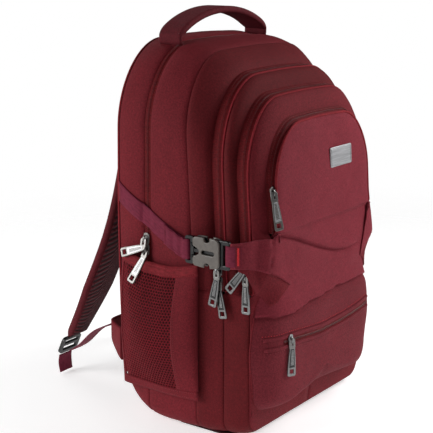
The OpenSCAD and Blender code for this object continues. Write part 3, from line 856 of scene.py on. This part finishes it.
# Faces below the fold get the darker copy of the front fabric, which is painted shade under the fold.
lower_front.data.materials.append(LOW_FRONT_PAINTED_SHADE)
for face in lower_front.data.polygons:
    face.material_index = int(face.center.z / MM < fold_height(face.center.x / MM) - 1)
bend_flap(thicken(flap, 1.8), "front_flap", slot="front")
put(thicken(lower_front, 1.8), "bag", "front_shell_lower", "lower_pocket_panel", "front_fold_panel",
    slot="front")
bend_flap(piping("front_piping", "flap", 1.7, 0.4, -0.6, 262.3), slot="front")
put(piping("lower_front_piping", "flap", 1.2, 0.4, 0.4, -5, SHELL), "bag", slot="front")
put(piping("back_piping", "back", 1.6, 0.6, 0.6, -5), "bag", slot="shell")

put(panel("back_panel_cover", "back", -0.6, -2.5, DARK_FABRIC, 3.0), "bag", "back_panel", slot="shell")
put(panel("laptop_partition_cover", "zip1_front", -2.5, 0.5, LINING, 2.4, 5), "bag", "laptop_partition",
    slot="lining")
bend_front(panel("organiser_back", "zip2_front", -2, 0.5, LINING, 1.6, 8), slot="lining")
bend_front(panel("pocket_back", "zip3_front", 4, 0.5, LINING, 1.6, 8), slot="lining")

LEFT, FORWARD, MIDDLE = (-1, 0, 0), (0, -1, 0), (0, 0, 240)


def tree_of(pieces):
    """Search tree over the surfaces of pieces, to lay things on."""
    merged = bmesh.new()
    for piece in pieces:
        merged.from_mesh(piece.data)
    tree = BVHTree.FromBMesh(merged)
    merged.free()
    return tree


SIDES = tree_of([*gussets, flap, lower_front])


def skin_x(y, z):
    """X of the fabric on the bag's -X side."""
    hit = SIDES.ray_cast(Vector((-0.4, y * MM, z * MM)), Vector((1, 0, 0)))[0]
    return hit.x / MM if hit else -150.0


def skin_y(x, z):
    """Y of the front panel's fabric."""
    hit = SIDES.ray_cast(Vector((x * MM, -0.4, z * MM)), Vector((0, 1, 0)))[0]
    return hit.y / MM if hit else -108.0


def on_front(xs, zs, gap):
    return np.array([(x, skin_y(x, z) - gap, z) for x, z in zip(xs, zs)])


def both(piece, nodes_left=(), nodes_right=(), slot=None):
    """A piece for the -X side and its mirror image for the other side."""
    other = mirrored(piece.name.replace("_left", "") + "_right", piece)
    put(piece, "bag", *nodes_left, slot=slot)
    put(other, "bag", *nodes_right, slot=slot)


def keep_node(name, material, edge):
    """Gives a CAD node that stays in sight its material and softened edges."""
    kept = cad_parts[name]
    kept.data.materials.clear()
    kept.data.materials.append(material)
    soft = kept.modifiers.new("soft_edges", "BEVEL")
    soft.width, soft.segments = edge * MM, 2


# Zip of the lower pocket, with a welt above and below it

xs = np.linspace(-100, 104, 61)
zip_middle = float(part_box("lower_zip")[0][2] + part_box("lower_zip")[1][2]) / 2 / MM
zip_low = zip_middle - 6.5 * np.sin(np.pi * np.clip((xs + 92) / 200, 0, 1)) ** 1.2
rows = [on_front(xs, zip_low + dz, gap)
        for dz, gap in ((5.4, 0.1), (3, 0.5), (0, 0.7), (-3, 0.5), (-5.4, 0.1))]
tape = face_away(grid_mesh("lower_zip_tape", rows, TAPE), MIDDLE)
teeth = tooth_rows("lower_zip", on_front(xs, zip_low, 0.8), FORWARD)
put(joined("lower_zip_chain", [tape, *teeth]), "bag", "lower_zip", slot="zip")
wide = np.linspace(-127, 108, 61)
wide_low = np.interp(wide, xs, zip_low)
welts = []
# The welts take the darker copy of the front fabric too, which is painted shade.
for k, (dz, thread) in enumerate(((6.2, BRIGHT_THREAD), (-6.2, THREAD))):
    run = on_front(wide, wide_low + dz + 0.25 * np.sin(wide / 11 + k), 0.5)
    welts.append(sweep(f"welt_{k}", run, (0, 0, 1), rounded_bar(4.6, 2.6, 1.2), LOW_FRONT_PAINTED_SHADE))
    welts.append(stitches(on_front(wide, wide_low + dz * 1.75, 0.15), FORWARD, 3.8, (1.7, 0.5, 0.35), thread))
put(joined("lower_zip_welts", welts), "bag", slot="front")

# Fabric tab that carries each buckle housing: it lies on the front and wraps its corner

route = rounded_path([(-159.8, -72.2, 0), (-158.8, -77, 0), (-150, -85, 0), (-137, -92.5, 0),
                      (-129.5, -99.5, 0), (-122, -107.5, 0), (-108, -113, 0), (-86, -114, 0)], 2.4)
route_x = route[:, 0]


def tab_grid(top, bottom, gap, count, seed, reach, size):
    """Grid down the tab's route, pushed off the fabric by a gap and laid on it past the corner."""
    grid = []
    for k in range(count):
        line = []
        for point, low, high, s in zip(route, bottom, top, np.linspace(0, 1, len(route))):
            z = low + (high - low) * k / (count - 1)
            p = Vector((point[0], point[1] + ZIP4[1] * (z - 240) * max(0, s - 0.4), z)) * MM
            near, normal, _, _ = SIDES.find_nearest(p)
            target = near + normal * gap * MM
            lay = float(smooth((s - 0.26) / 0.18))
            p = p.lerp(target, lay) if (p - near).dot(normal) / MM > gap else target
            line.append(tuple(v / MM for v in p))
        grid.append(line)
    grid = np.array(grid)
    return grid + size * wobble(grid, reach, seed)[..., None] * [1, 1, 0]


top = np.interp(route_x, [-158, -116, -110, -104, -96, -87], [256, 260, 259, 246, 226, 199])
bottom = np.interp(route_x, [-158, -146, -130, -112, -98, -87], [225, 224, 219, 210, 202, 196])
under_low = np.interp(route_x, [-158, -148, -134, -122, -110, -98, -87], [224, 218, 186, 174, 178, 188, 195])
tab = tab_grid(top, bottom, 2.3, 18, 8, 20, 0.35)
under_tab = tab_grid(bottom + 6, under_low, 0.9, 14, 5, 18, 0.5)
edges = [stitches(tab[row, 2:], (-0.6, -0.8, 0), 3.0, (2.1, 0.4, 0.5)) for row in (-3, 2)]
tack_line = tab[3:-3, np.argmin(abs(route_x + 155))] + [-1.2, -0.6, 0]
edges.append(stitches(tack_line, (-0.8, -0.6, 0), 1.1, (0.8, 2.6, 0.6), BRIGHT_THREAD))
both(thicken(face_away(grid_mesh("tongue_left", tab, FRONT), MIDDLE), 1.7, -0.6), ["strap_tongues"],
     slot="shell")
both(thicken(face_away(grid_mesh("tongue_under_left", under_tab[:, 4:], SHELL), MIDDLE), 1.4, -0.6),
     slot="shell")
both(joined("tongue_stitches_left", edges), slot="webbing")

# Webbing loop through the housing's end slot

BUCKLE_X, BUCKLE_Z = 157.5, 240.0
WEB_HALF = 12.5
loop = rounded_path([(-152.5, -83, 0), (-153.9, -75, 0), (-154.1, -69, 0), (-155.2, -65.8, 0),
                     (-157.5, -64.9, 0), (-159.8, -65.8, 0), (-161, -69, 0), (-160.2, -73.6, 0),
                     (-157.5, -78, 0)], 1.2)
rows = [[(x, y, BUCKLE_Z + h) for x, y, _ in loop] for h in np.linspace(-WEB_HALF, WEB_HALF, 7)]
both(thicken(grid_mesh("housing_loop_left", rows, WEBBING), 1.3, 0), slot="webbing")

# Compression straps, laid on the side and folded round the insert's bar


def strap_z(y):
    """Middle height of the strap, which climbs towards the back."""
    return float(BUCKLE_Z + 57 * np.clip((y - 2) / 109, 0, 1) ** 1.05)


def strap_seam(x, y, z, step, size):
    """Stitches across the strap, from edge to edge."""
    return stitches([(x(z + h), y, z + h) for h in np.linspace(-10, 10, 9)], LEFT, step, size)


middle = []
for y in np.linspace(108.5, -2, 58):
    z = strap_z(y)
    rest = min(skin_x(y, z + h) for h in (-10, 0, 10)) - 1.1
    middle.append((rest + (-155.0 - rest) * float(smooth((26 - y) / 26)), y, z))
bar = [(-154.2, -5, 240), (-154.4, -8.4, 240), (-156, -10.6, 240), (-158.6, -10.9, 240), (-160.6, -9.4, 240),
       (-161.2, -6, 240)]
doubled = [(-161.2, -2, 240)] + [(middle[i][0] - 2.9 - 0.6 * math.sin(i), *middle[i][1:])
                                 for i in range(57, 40, -1)]
strap_path = rounded_path(middle + bar + doubled, 1.5, 1)
strap_grid = strap_path[None] + [[(0, 0, h)] for h in np.linspace(-WEB_HALF, WEB_HALF, 9)]
strap_grid[..., 0] -= 0.5 * wobble(strap_grid, 40, 4)
strap = thicken(grid_mesh("side_strap_left", strap_grid, WEBBING), 1.5, 0)
end_x, end_y, end_z = doubled[-1]
edges = [stitches(np.array(doubled[2:]) + [-0.9, 0, h], LEFT, 2.6, (1.9, 0.5, 0.4)) for h in (-10, 10)]
edges.append(strap_seam(lambda z: end_x - 0.9, end_y - 2.5, end_z, 2.2, (1.6, 0.5, 0.4)))
edges.append(strap_seam(lambda z: skin_x(105, z) - 2.3, 105, strap_z(105), 1.2, (0.9, 2.4, 0.5)))
strap_edges = joined("side_strap_stitches_left", edges)
for piece, nodes in ((strap, ["compression_straps"]), (strap_edges, [])):
    other = mirrored(piece.name.replace("_left", "_right"), piece)
    bend(piece, "bag", "insert_left", (-152, 92, 284), (-155, 22, 246), *nodes, slot="webbing")
    bend(other, "bag", "insert_right", (152, 92, 284), (155, 22, 246), slot="webbing")

# Buckle housings: two lobed faces on rounded rails, an end frame with a webbing slot


def face_outline(grow):
    """Outline of a buckle's face, with a bite out of each side and an open mouth."""
    half, r, bite = 17 + grow, 5.0, 5.2 - grow
    low, high = -57 - grow, -20.0
    points = [(low + r - r * math.sin(a), half - r + r * math.cos(a))
              for a in np.radians(np.linspace(90, 0, 6))]
    angle = math.asin(min(1, (half - 17) / bite))
    arc = [(-39.6 + bite * math.cos(a), 17 + bite * math.sin(a))
           for a in np.linspace(math.pi + angle, 2 * math.pi - angle, 14)]
    mouth = [(high - 2.2, half), (high, half - 2.2), (high, 8.2), (high - 1, 7.2), (-25, 5.6),
             (-28.4, 3.4), (-29.4, 0)]
    upper = points + arc + mouth
    return upper + [(x, -z) for x, z in upper[::-1][1:]]


def side_plate(name, loops, thickness, bevel, material=BLACK, segments=2, x=0.0):
    """Plate of the -X buckle: drawn in X and Z, and turned to lie on the side, x outwards of its middle."""
    piece = plate(name, loops, thickness, bevel, material, segments)
    return moved(piece, Matrix.Translation(Vector((-BUCKLE_X - x, 0, BUCKLE_Z)) * MM) @ turn(90, "Z"))


window = rounded_loop((-51.5, -3.8), (-31, 3.8), 3.6)
parts = []
for s in (1, -1):
    parts.append(side_plate(f"face_{s}", [face_outline(-0.4), window], 3.2, 1.2, BUCKLE, 3, s * 3.9))
    parts.append(side_plate(f"rim_{s}", [face_outline(0.4), window], 1.4, 0.5, x=s * 2.9))
for s in (-1, 1):
    low, high = sorted((s * 13.7, s * 16.8))
    for start, end in ((-56.5, -46.6), (-32.6, -21)):
        parts.append(side_plate(f"rail_{s}", [rounded_loop((start, low), (end, high), 1.2)], 7, 0.6))
parts.append(side_plate("throat", [rounded_loop((-56.5, -16.4), (-50.4, 16.4), 2)], 7, 0.6))
end_loops = [rounded_loop((-70, -16.5), (-54, 16.5), 3), rounded_loop((-67.3, -13.4), (-60.6, 13.4), 1.2)]
parts.append(side_plate("end_frame", end_loops, 5, 1.3, BLACK, 3))
both(joined("buckle_housing_left", parts), ["buckle_housings"], slot="buckle")

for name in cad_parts:
    if name.startswith(("buckle_insert", "prong_")):
        keep_node(name, BLACK, 0.5)

# Bottle pockets: hexagonal net with a fabric edge, a sewn base strip and an elastic mouth

POCKET_BASE = 46
POCKET_FRONT, POCKET_LENGTH, POCKET_HEIGHT = -20, 119, 166


def pocket(h, l, t=0.0):
    """Point of the pocket on the -X side, h down from the mouth at the length fraction l."""
    h, l = np.broadcast_arrays(np.asarray(h, float), np.asarray(l, float))
    arch = np.sqrt(np.sin(np.pi * np.clip(l, 0, 1)))
    mouth = 212 + 40 * (l - 0.45) ** 2
    depth = 1.8 + arch * (4 + 20 * np.sin(np.pi * np.clip(h, 0, 1)))
    y = POCKET_FRONT + POCKET_LENGTH * l
    z = mouth - (mouth - np.maximum(POCKET_BASE, underside(y) + 14)) * h
    rest = 150.6 + 1.6 * np.sin(np.pi * np.clip((z - 40) / 180, 0, 1))
    crease = 0.8 * np.sin(l * 21 + 2.5 * h) * (1 - h) ** 2 + 0.7 * np.sin(5 * h + 9 * l)
    return np.stack([-(rest + depth + t + crease * arch), y, z], axis=-1)


def pocket_strip(name, h_range, l_range, shape, lift, material=SHELL, thickness=1.2, ripple=0.0):
    """Strip of fabric over part of the pocket, lifted off its net."""
    h, l = np.meshgrid(np.linspace(*h_range, shape[0]), np.linspace(*l_range, shape[1]), indexing="ij")
    grid = pocket(h, l, lift(h) if callable(lift) else lift)
    grid[..., 0] -= ripple * wobble(grid, 24, 3)
    return applied(thicken(face_away(grid_mesh(name, grid, material), (0, 40, 120)), thickness, 0))


def hexagons(name, low, high, pitch, hole, material):
    """Net of hexagonal holes over a box of pocket coordinates, in millimetres down and along."""
    corner = np.radians(np.arange(6) * 60 + 30)
    verts, faces, index = [], [], {}

    def spot(p):
        key = (round(p[0] * 50), round(p[1] * 50))
        if key not in index:
            index[key] = len(verts)
            verts.append(p)
        return index[key]

    def ring(centre, radius):
        return [(centre[0] + radius * math.sin(a), centre[1] + radius * math.cos(a)) for a in corner]

    radius = pitch / math.sqrt(3)
    for r in range(int((high[0] - low[0]) / (pitch * 0.866))):
        for c in range(int((high[1] - low[1]) / pitch)):
            centre = (low[0] + (r + 0.5) * pitch * 0.866, low[1] + (c + 0.5 + 0.5 * (r % 2)) * pitch)
            outer = [spot(p) for p in ring(centre, radius)]
            inner = range(len(verts), len(verts) + 6)
            verts.extend(ring(centre, hole * radius))
            faces += [(outer[k], outer[(k + 1) % 6], inner[(k + 1) % 6], inner[k]) for k in range(6)]
    flat = np.array(verts)
    points = pocket(np.clip(flat[:, 0] / POCKET_HEIGHT, 0.06, 1),
                    np.clip((flat[:, 1] - POCKET_FRONT) / POCKET_LENGTH, 0, 1))
    return mesh_piece(name, points, faces, material, flat[:, ::-1])


net = applied(thicken(hexagons("net", (9, 3), (POCKET_HEIGHT, 99), 4.0, 0.66, NET), 0.7, 0))
# Dark fabric sheet laid on the side behind the net: painted shade. The real pocket has no lining, and the
# side behind its net lies in shadow.
ys, zs = np.linspace(-17, 96, 24), np.linspace(52, 206, 30)
behind = grid_mesh("pocket_back_left", [[(skin_x(y, z) - 0.9, y, z) for y in ys] for z in zs], DARK_FABRIC)
both(behind, slot="shell")
strips = [pocket_strip("edge", (0.05, 1), (0.0, 0.235), (40, 12), 0.3, ripple=0.4),
          pocket_strip("base", (0.93, 1.0), (0.0, 1.0), (5, 50), 0.6),
          pocket_strip("rear", (0.05, 1), (0.945, 1.0), (40, 5), 0.5)]
mouth_band = pocket_strip("pocket_binding_left", (-0.005, 0.074), (0.0, 1.0), (7, 70),
                          lambda h: 1.4 * np.sin(np.pi * (h + 0.005) / 0.079) ** 0.6, BINDING, 1.8)
along, down = np.linspace(0.02, 0.98, 60), np.linspace(0.09, 0.92, 60)
seams = [stitches(pocket(h, along, 2.2), LEFT, 2.6, (1.8, 0.45, 0.4)) for h in (0.012, 0.062)]
seams += [stitches(pocket(h, np.linspace(0.03, 0.97, 60), 1.2), LEFT, 3.0, (2.1, 0.45, 0.4))
          for h in (0.945, 0.985)]
seams += [stitches(pocket(down, l, 0.95), LEFT, 3.0, (2.1, 0.45, 0.4)) for l in (0.205, 0.225)]
both(joined("pocket_net_left", [net, *strips]), ["mesh_pocket_left"], ["mesh_pocket_right"], slot="mesh")
both(mouth_band, ["pocket_bindings"], slot="binding")
both(joined("pocket_stitches_left", seams), slot="binding")

# Shoulder straps, with their wings, webbing, adjusters and loose ends

ribbon = rounded_bar(25, 1.5, 0.7)
SHOULDER_X = 86
strap_fall = ((115, 408), (121, 396), (127.5, 350), (140.5, 290), (160, 228), (185, 174),
              (213, 118), (247, 61))
strap_route = rounded_path([(-SHOULDER_X, y, z) for y, z in strap_fall], 4)
widths = np.interp(strap_route[:, 2], [58, 140, 500], [32, 58, 58]) / 58
place = np.arange(len(strap_route))
taper = np.column_stack([widths, smooth(np.minimum(place, place[::-1]) / 3 + 0.25)])
for side, mirror in (("left", 1), ("right", -1)):
    run = strap_route * [mirror, 1, 1]
    pad = joined(f"shoulder_strap_pad_{side}", [
        sweep("pad", run, (1, 0, 0), rounded_bar(57, 10.5, 4.8), STRAP_FACE, taper),
        sweep("face", run + [0, -1.3, -0.3], (1, 0, 0), rounded_bar(49, 10.5, 4.2), AIR_MESH, taper)])
    swing = ("bag", f"strap_{side}", (0, 120, 438), (0, 130, 340))
    bend(pad, *swing, f"shoulder_strap_{side}", slot="webbing")
    narrow = np.column_stack([np.minimum(1, widths[6:] * 1.15), widths[6:] * 0 + 1])
    bend(sweep(f"shoulder_ribbon_{side}", run[6:] + [0, 5.4, 1.2], (1, 0, 0), ribbon, WEBBING, narrow),
         *swing, slot="webbing")
    centre_x = -SHOULDER_X * mirror
    run = rounded_path([(centre_x, y, z) for y, z in ((171, 92), (203.5, 78), (230.5, 50), (248, 38.8))], 3)
    lower_web = sweep(f"lower_web_{side}", run, (1, 0, 0), ribbon, WEBBING)
    bend(lower_web, "bag", f"strap_{side}", (0, 175, 88), (0, 246, 42),
         *(["lower_webbing"] if side == "left" else []), slot="webbing")
    wing = rounded_path([(-140 * mirror, 114, 89), (-134 * mirror, 124, 89), (-101 * mirror, 166, 90),
                         (-88 * mirror, 169, 90), (-73 * mirror, 169, 90)], 3)
    heights = np.interp(wing[:, 1], [112, 172], [46, 24]) / 46
    wing = sweep(f"strap_wing_{side}", wing, (0, 0, 1), rounded_bar(45, 5, 2.3), SHELL,
                 np.column_stack([heights, heights * 0 + 1]))
    put(wing, "bag", *(["strap_wings"] if side == "left" else []), slot="shell")
    hang = rounded_path([(centre_x, y, z) for y, z in ((267.9, 28.4), (269.9, 18), (267.4, 2.3))], 1.6)
    rows = [[(x + w, y + 0.3 * math.sin(z / 5 + w / 9), z) for x, y, z in hang]
            for w in np.linspace(-WEB_HALF, WEB_HALF, 9)]
    tail = applied(thicken(grid_mesh(f"web_tail_{side}", rows, WEBBING), 1.4, 0))
    put(tail, f"adjuster_{side}", f"webbing_tail_{side}", slot="webbing")

for name in ("ladder_lock_left", "ladder_lock_right", "base_board"):
    keep_node(name, BLACK, 0.7)

# Top handle

g = np.radians(np.linspace(-8, 188, 60))
rise = np.sin(g)
arch = np.column_stack([93.5 * np.cos(g), 66 + 0 * g,
                        486 + np.where(rise > 0, 28.5 * np.abs(rise) ** 1.6, 75 * rise)])
thick = 0.55 + 0.45 * smooth((rise + 0.02) / 0.5)
wide = 0.94 + 0.08 * smooth(rise / 0.5)
handle = sweep("handle_pad", arch, (0, 1, 0), rounded_bar(37, 8.6, 4.0, 7), STRAP_FACE,
               np.column_stack([wide, thick]))
swing = ("bag", "handle", (0, 66, 478), (0, 66, 494))
bend(handle, *swing, "top_handle", slot="webbing")
outwards = np.column_stack([np.cos(g), g * 0, rise])[6:-6]
edges = [stitches(arch[6:-6] + outwards * 3.6 + [0, y, 0], outwards, 3.2, (2.2, 0.5, 0.7))
         for y in (-14.5, 14.5)]
bend(joined("handle_stitches", edges), *swing, slot="webbing")

# Back pads


def pillow(name, low, high, base, height, seed):
    """Foam pad on the back panel, domed from its sewn edge."""
    u, v = np.meshgrid(np.linspace(-1, 1, 26), np.linspace(-1, 1, 34), indexing="ij")
    u, v = np.sin(u * math.pi / 2) * 0.35 + u * 0.65, np.sin(v * math.pi / 2) * 0.35 + v * 0.65
    squeeze = 1 - 0.07 * (u * v) ** 2
    centre, half = (np.array(high) + low) / 2, (np.array(high) - low) / 2
    x, z = centre[0] + half[0] * u * squeeze, centre[1] + half[1] * v * squeeze
    rise = np.clip((1 - u ** 6) * (1 - v ** 6), 0, 1) ** 0.4
    grid = np.stack([x, base + height * rise, z], axis=-1)
    grid[..., 1] += (0.7 * wobble(grid, 34, seed) - 0.8 * np.exp(-((z - centre[1]) / 3.0) ** 2)) * rise
    flat = np.stack([x, base - 0.4 + 0 * x, z], axis=-1)
    piece = weld(joined(name, [grid_mesh("front", grid, AIR_MESH), grid_mesh("back", flat, AIR_MESH)]), 0.45)
    piece.data.shade_smooth()
    return piece


for i, (z0, z1) in enumerate(((96, 232), (244, 392))):
    for side, mirror in (("left", -1), ("right", 1)):
        x0, x1 = sorted((mirror * 14, mirror * 112))
        pad = pillow(f"back_pad_{i}_{side}", (x0, z0), (x1, z1), 112.6, 6.4, 3 + i + mirror)
        put(pad, "bag", *(["back_pads"] if i == 0 and side == "left" else []), slot="pad")

# Base, sleeve and organiser pocket

base = plate("base_cover", [rounded_loop((-132, -58), (132, 42), 24, 10)], 2.8, 0.9, DARK_FABRIC)
put(moved(moved(base, turn(-90, "X")), (0, 0, 1.4)), "bag", "base_panel", slot="shell")
sleeve = plate("laptop_sleeve_cover", [rounded_loop((-122, 68), (122, 330), 18, 10)], 3.5, 1.2, LINING)
put(moved(sleeve, (0, 89.75, 0)), "bag", "laptop_sleeve", slot="lining")
inner = plate("organiser_pocket_cover", [rounded_loop((-112, 14), (112, 170), 12, 10)], 2, 0.7, LINING)
put(moved(inner, (0, -71, 0)), "bag", "organiser_pocket", slot="lining")

# Name plate, blank, laid on the flap

plate_low, plate_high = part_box("name_plate")
px, pz = (plate_low[0] + plate_high[0]) / 2 / MM, (plate_low[2] + plate_high[2]) / 2 / MM
half = (plate_high[0] - plate_low[0]) / 2 / MM
lines = [rounded_loop((d - half, d - 12), (half - d, 12 - d), r) for d, r in ((0, 1.6), (1.6, 1), (2.2, 0.8))]
badge = joined("badge_plate", [moved(plate("badge", lines[:1], 1.6, 0.5, PLATE, 3), (0, 0.2, 0)),
                               moved(plate("badge_rim", lines[1:], 0.6, 0.15, PLATE), (0, -0.7, 0))])
surface = min(skin_y(px + a, pz + b) - ZIP4[1] * b for a in (-20, 20) for b in (-11, 0, 11))
lean = Matrix.Rotation(-math.atan(ZIP4[1]), 4, "X")
moved(badge, Matrix.Translation(Vector((px, surface - 0.4, pz)) * MM) @ lean)
put(badge, "front_pocket_flap", "name_plate", slot="plate")

# Zip sliders and pulls

SLIDER_X = (150.4, 143.4, 137.4)
CAD_ZIP3 = (-84, 0.067)
HIGH_BRIDGE, LOW_BRIDGE = 8.2, 4.8


def at_side(plane, x, z):
    """Place of a slider on a zip plane, on the -X side."""
    return (Matrix.Translation(Vector((-x, float(plane_y(plane, z)), z)) * MM)
            @ Matrix.Rotation(-math.atan(plane[1]), 4, "X") @ turn(-90, "Z"))


front_place = Matrix.Translation(Vector((-113.2, float(plane_y(ZIP4, 312)) - 1.2, 312)) * MM) @ lean
lower_place = Matrix.Translation(Vector((-90, -112, 127)) * MM)


def slider_piece(name, bridge, metal):
    """Slider body with a waisted plate, and a bridge of the given height for the pull."""
    waisted = [(x * (1 - 0.16 * math.exp(-((z + 2) / 2.6) ** 2)), z)
               for x, z in rounded_loop((-4, -6.5), (4, 6.5), 2.8, 8)]
    body = moved(plate("body", [waisted], 1.7, 0.6, metal, 3), (0, -1.05, 0))
    path = rounded_path([(0, -0.6, 3.9), (0, -bridge + 2.2, 3.9), (0, -bridge + 0.7, 2.6),
                         (0, -bridge + 0.7, -2.6), (0, -bridge + 2.2, -3.9), (0, -0.6, -3.9)], 0.5, 2)
    return joined(name, [body, sweep("arch", path, (1, 0, 0), rounded_bar(2.6, 1.1, 0.5, 3), metal)])


def pull_piece(name, bridge, twist, lean_out, swivel, metal, face):
    """Ring through the bridge and a tapered tab with a window near its tip."""
    ring = plate("ring",
                 [rounded_loop((-3.8, -10.6), (3.8, 0.9), 2.2), rounded_loop((-1.8, -8.2), (1.8, -0.9), 1.2)],
                 2.1, 0.8, SILVER, 3)
    end = 10.4 - 45
    tab_loop = [(-3.2, 0.6), (-2.4, 2.4), (0, 3.1), (2.4, 2.4), (3.2, 0.6), (4.4, -12), (5.4, end + 2),
                (4.9, end + 0.6), (4, end), (-4, end), (-4.9, end + 0.6), (-5.4, end + 2), (-4.4, -12)]
    hole = rounded_loop((-3.5, end + 2), (3.5, end + 8.8), 0.8, 5)
    inset = [(-2.3, -1), (2.3, -1), (3.2, -12), (3.9, end + 10.6), (-3.9, end + 10.6), (-3.2, -12)]
    tab = [plate("tab", [tab_loop, hole], 2.0, 0.6, metal, 3), plate("inset", [inset], 2.3, 0.2, face)]
    for k in range(11):
        z, half = -3 - 1.75 * k, 1.5 + 0.06 * k
        tab.append(plate("rib", [rounded_loop((-half, z - 0.4), (half, z + 0.4), 0.35, 3)], 2.8, 0.3, metal))
    tab = moved(moved(joined("tab_all", tab), turn(twist, "Y")), (0, 0, -10.4))
    hung = Matrix.Translation((0, (2 - bridge) * MM, 0)) @ turn(-lean_out, "X") @ turn(swivel, "Z")
    return moved(joined(name, [ring, tab]), hung)


for zone, place, bridge, twist, lean_out, swivel, metal, face in (
    ("rear_upper", at_side(ZIP1, SLIDER_X[0], 241), HIGH_BRIDGE, 70, 12, 0, SILVER, PLATE),
    ("rear_lower", at_side(ZIP1, SLIDER_X[0], 227), LOW_BRIDGE, 18, 24, 0, SILVER, PLATE),
    ("main_upper", at_side(ZIP2, SLIDER_X[1], 216), HIGH_BRIDGE, 14, 1, 0, GUNMETAL, BLACK),
    ("main_lower", at_side(ZIP2, SLIDER_X[1], 202), LOW_BRIDGE, -8, 0, 0, GUNMETAL, BLACK),
    ("organiser_upper", at_side(CAD_ZIP3, SLIDER_X[2], 230), HIGH_BRIDGE, 42, 1, 0, GUNMETAL, BLACK),
    ("organiser_lower", at_side(CAD_ZIP3, SLIDER_X[2], 212), LOW_BRIDGE, 3, 0, 0, GUNMETAL, BLACK),
    ("front", front_place, LOW_BRIDGE, -4, 4, -28, SILVER, PLATE),
    ("lower", lower_place, LOW_BRIDGE, 4, 3, -24, GUNMETAL, BLACK),
):
    body = slider_piece(f"{zone}_zip_slider", bridge, metal)
    grip = pull_piece(f"{zone}_zip_pull", bridge, twist, lean_out, swivel, metal, face)
    put(moved(body, place), f"{zone}_slider", f"slider_{zone}", slot="metal")
    put(moved(grip, place), f"{zone}_pull", f"pull_{zone}", slot="metal")

add_stage()
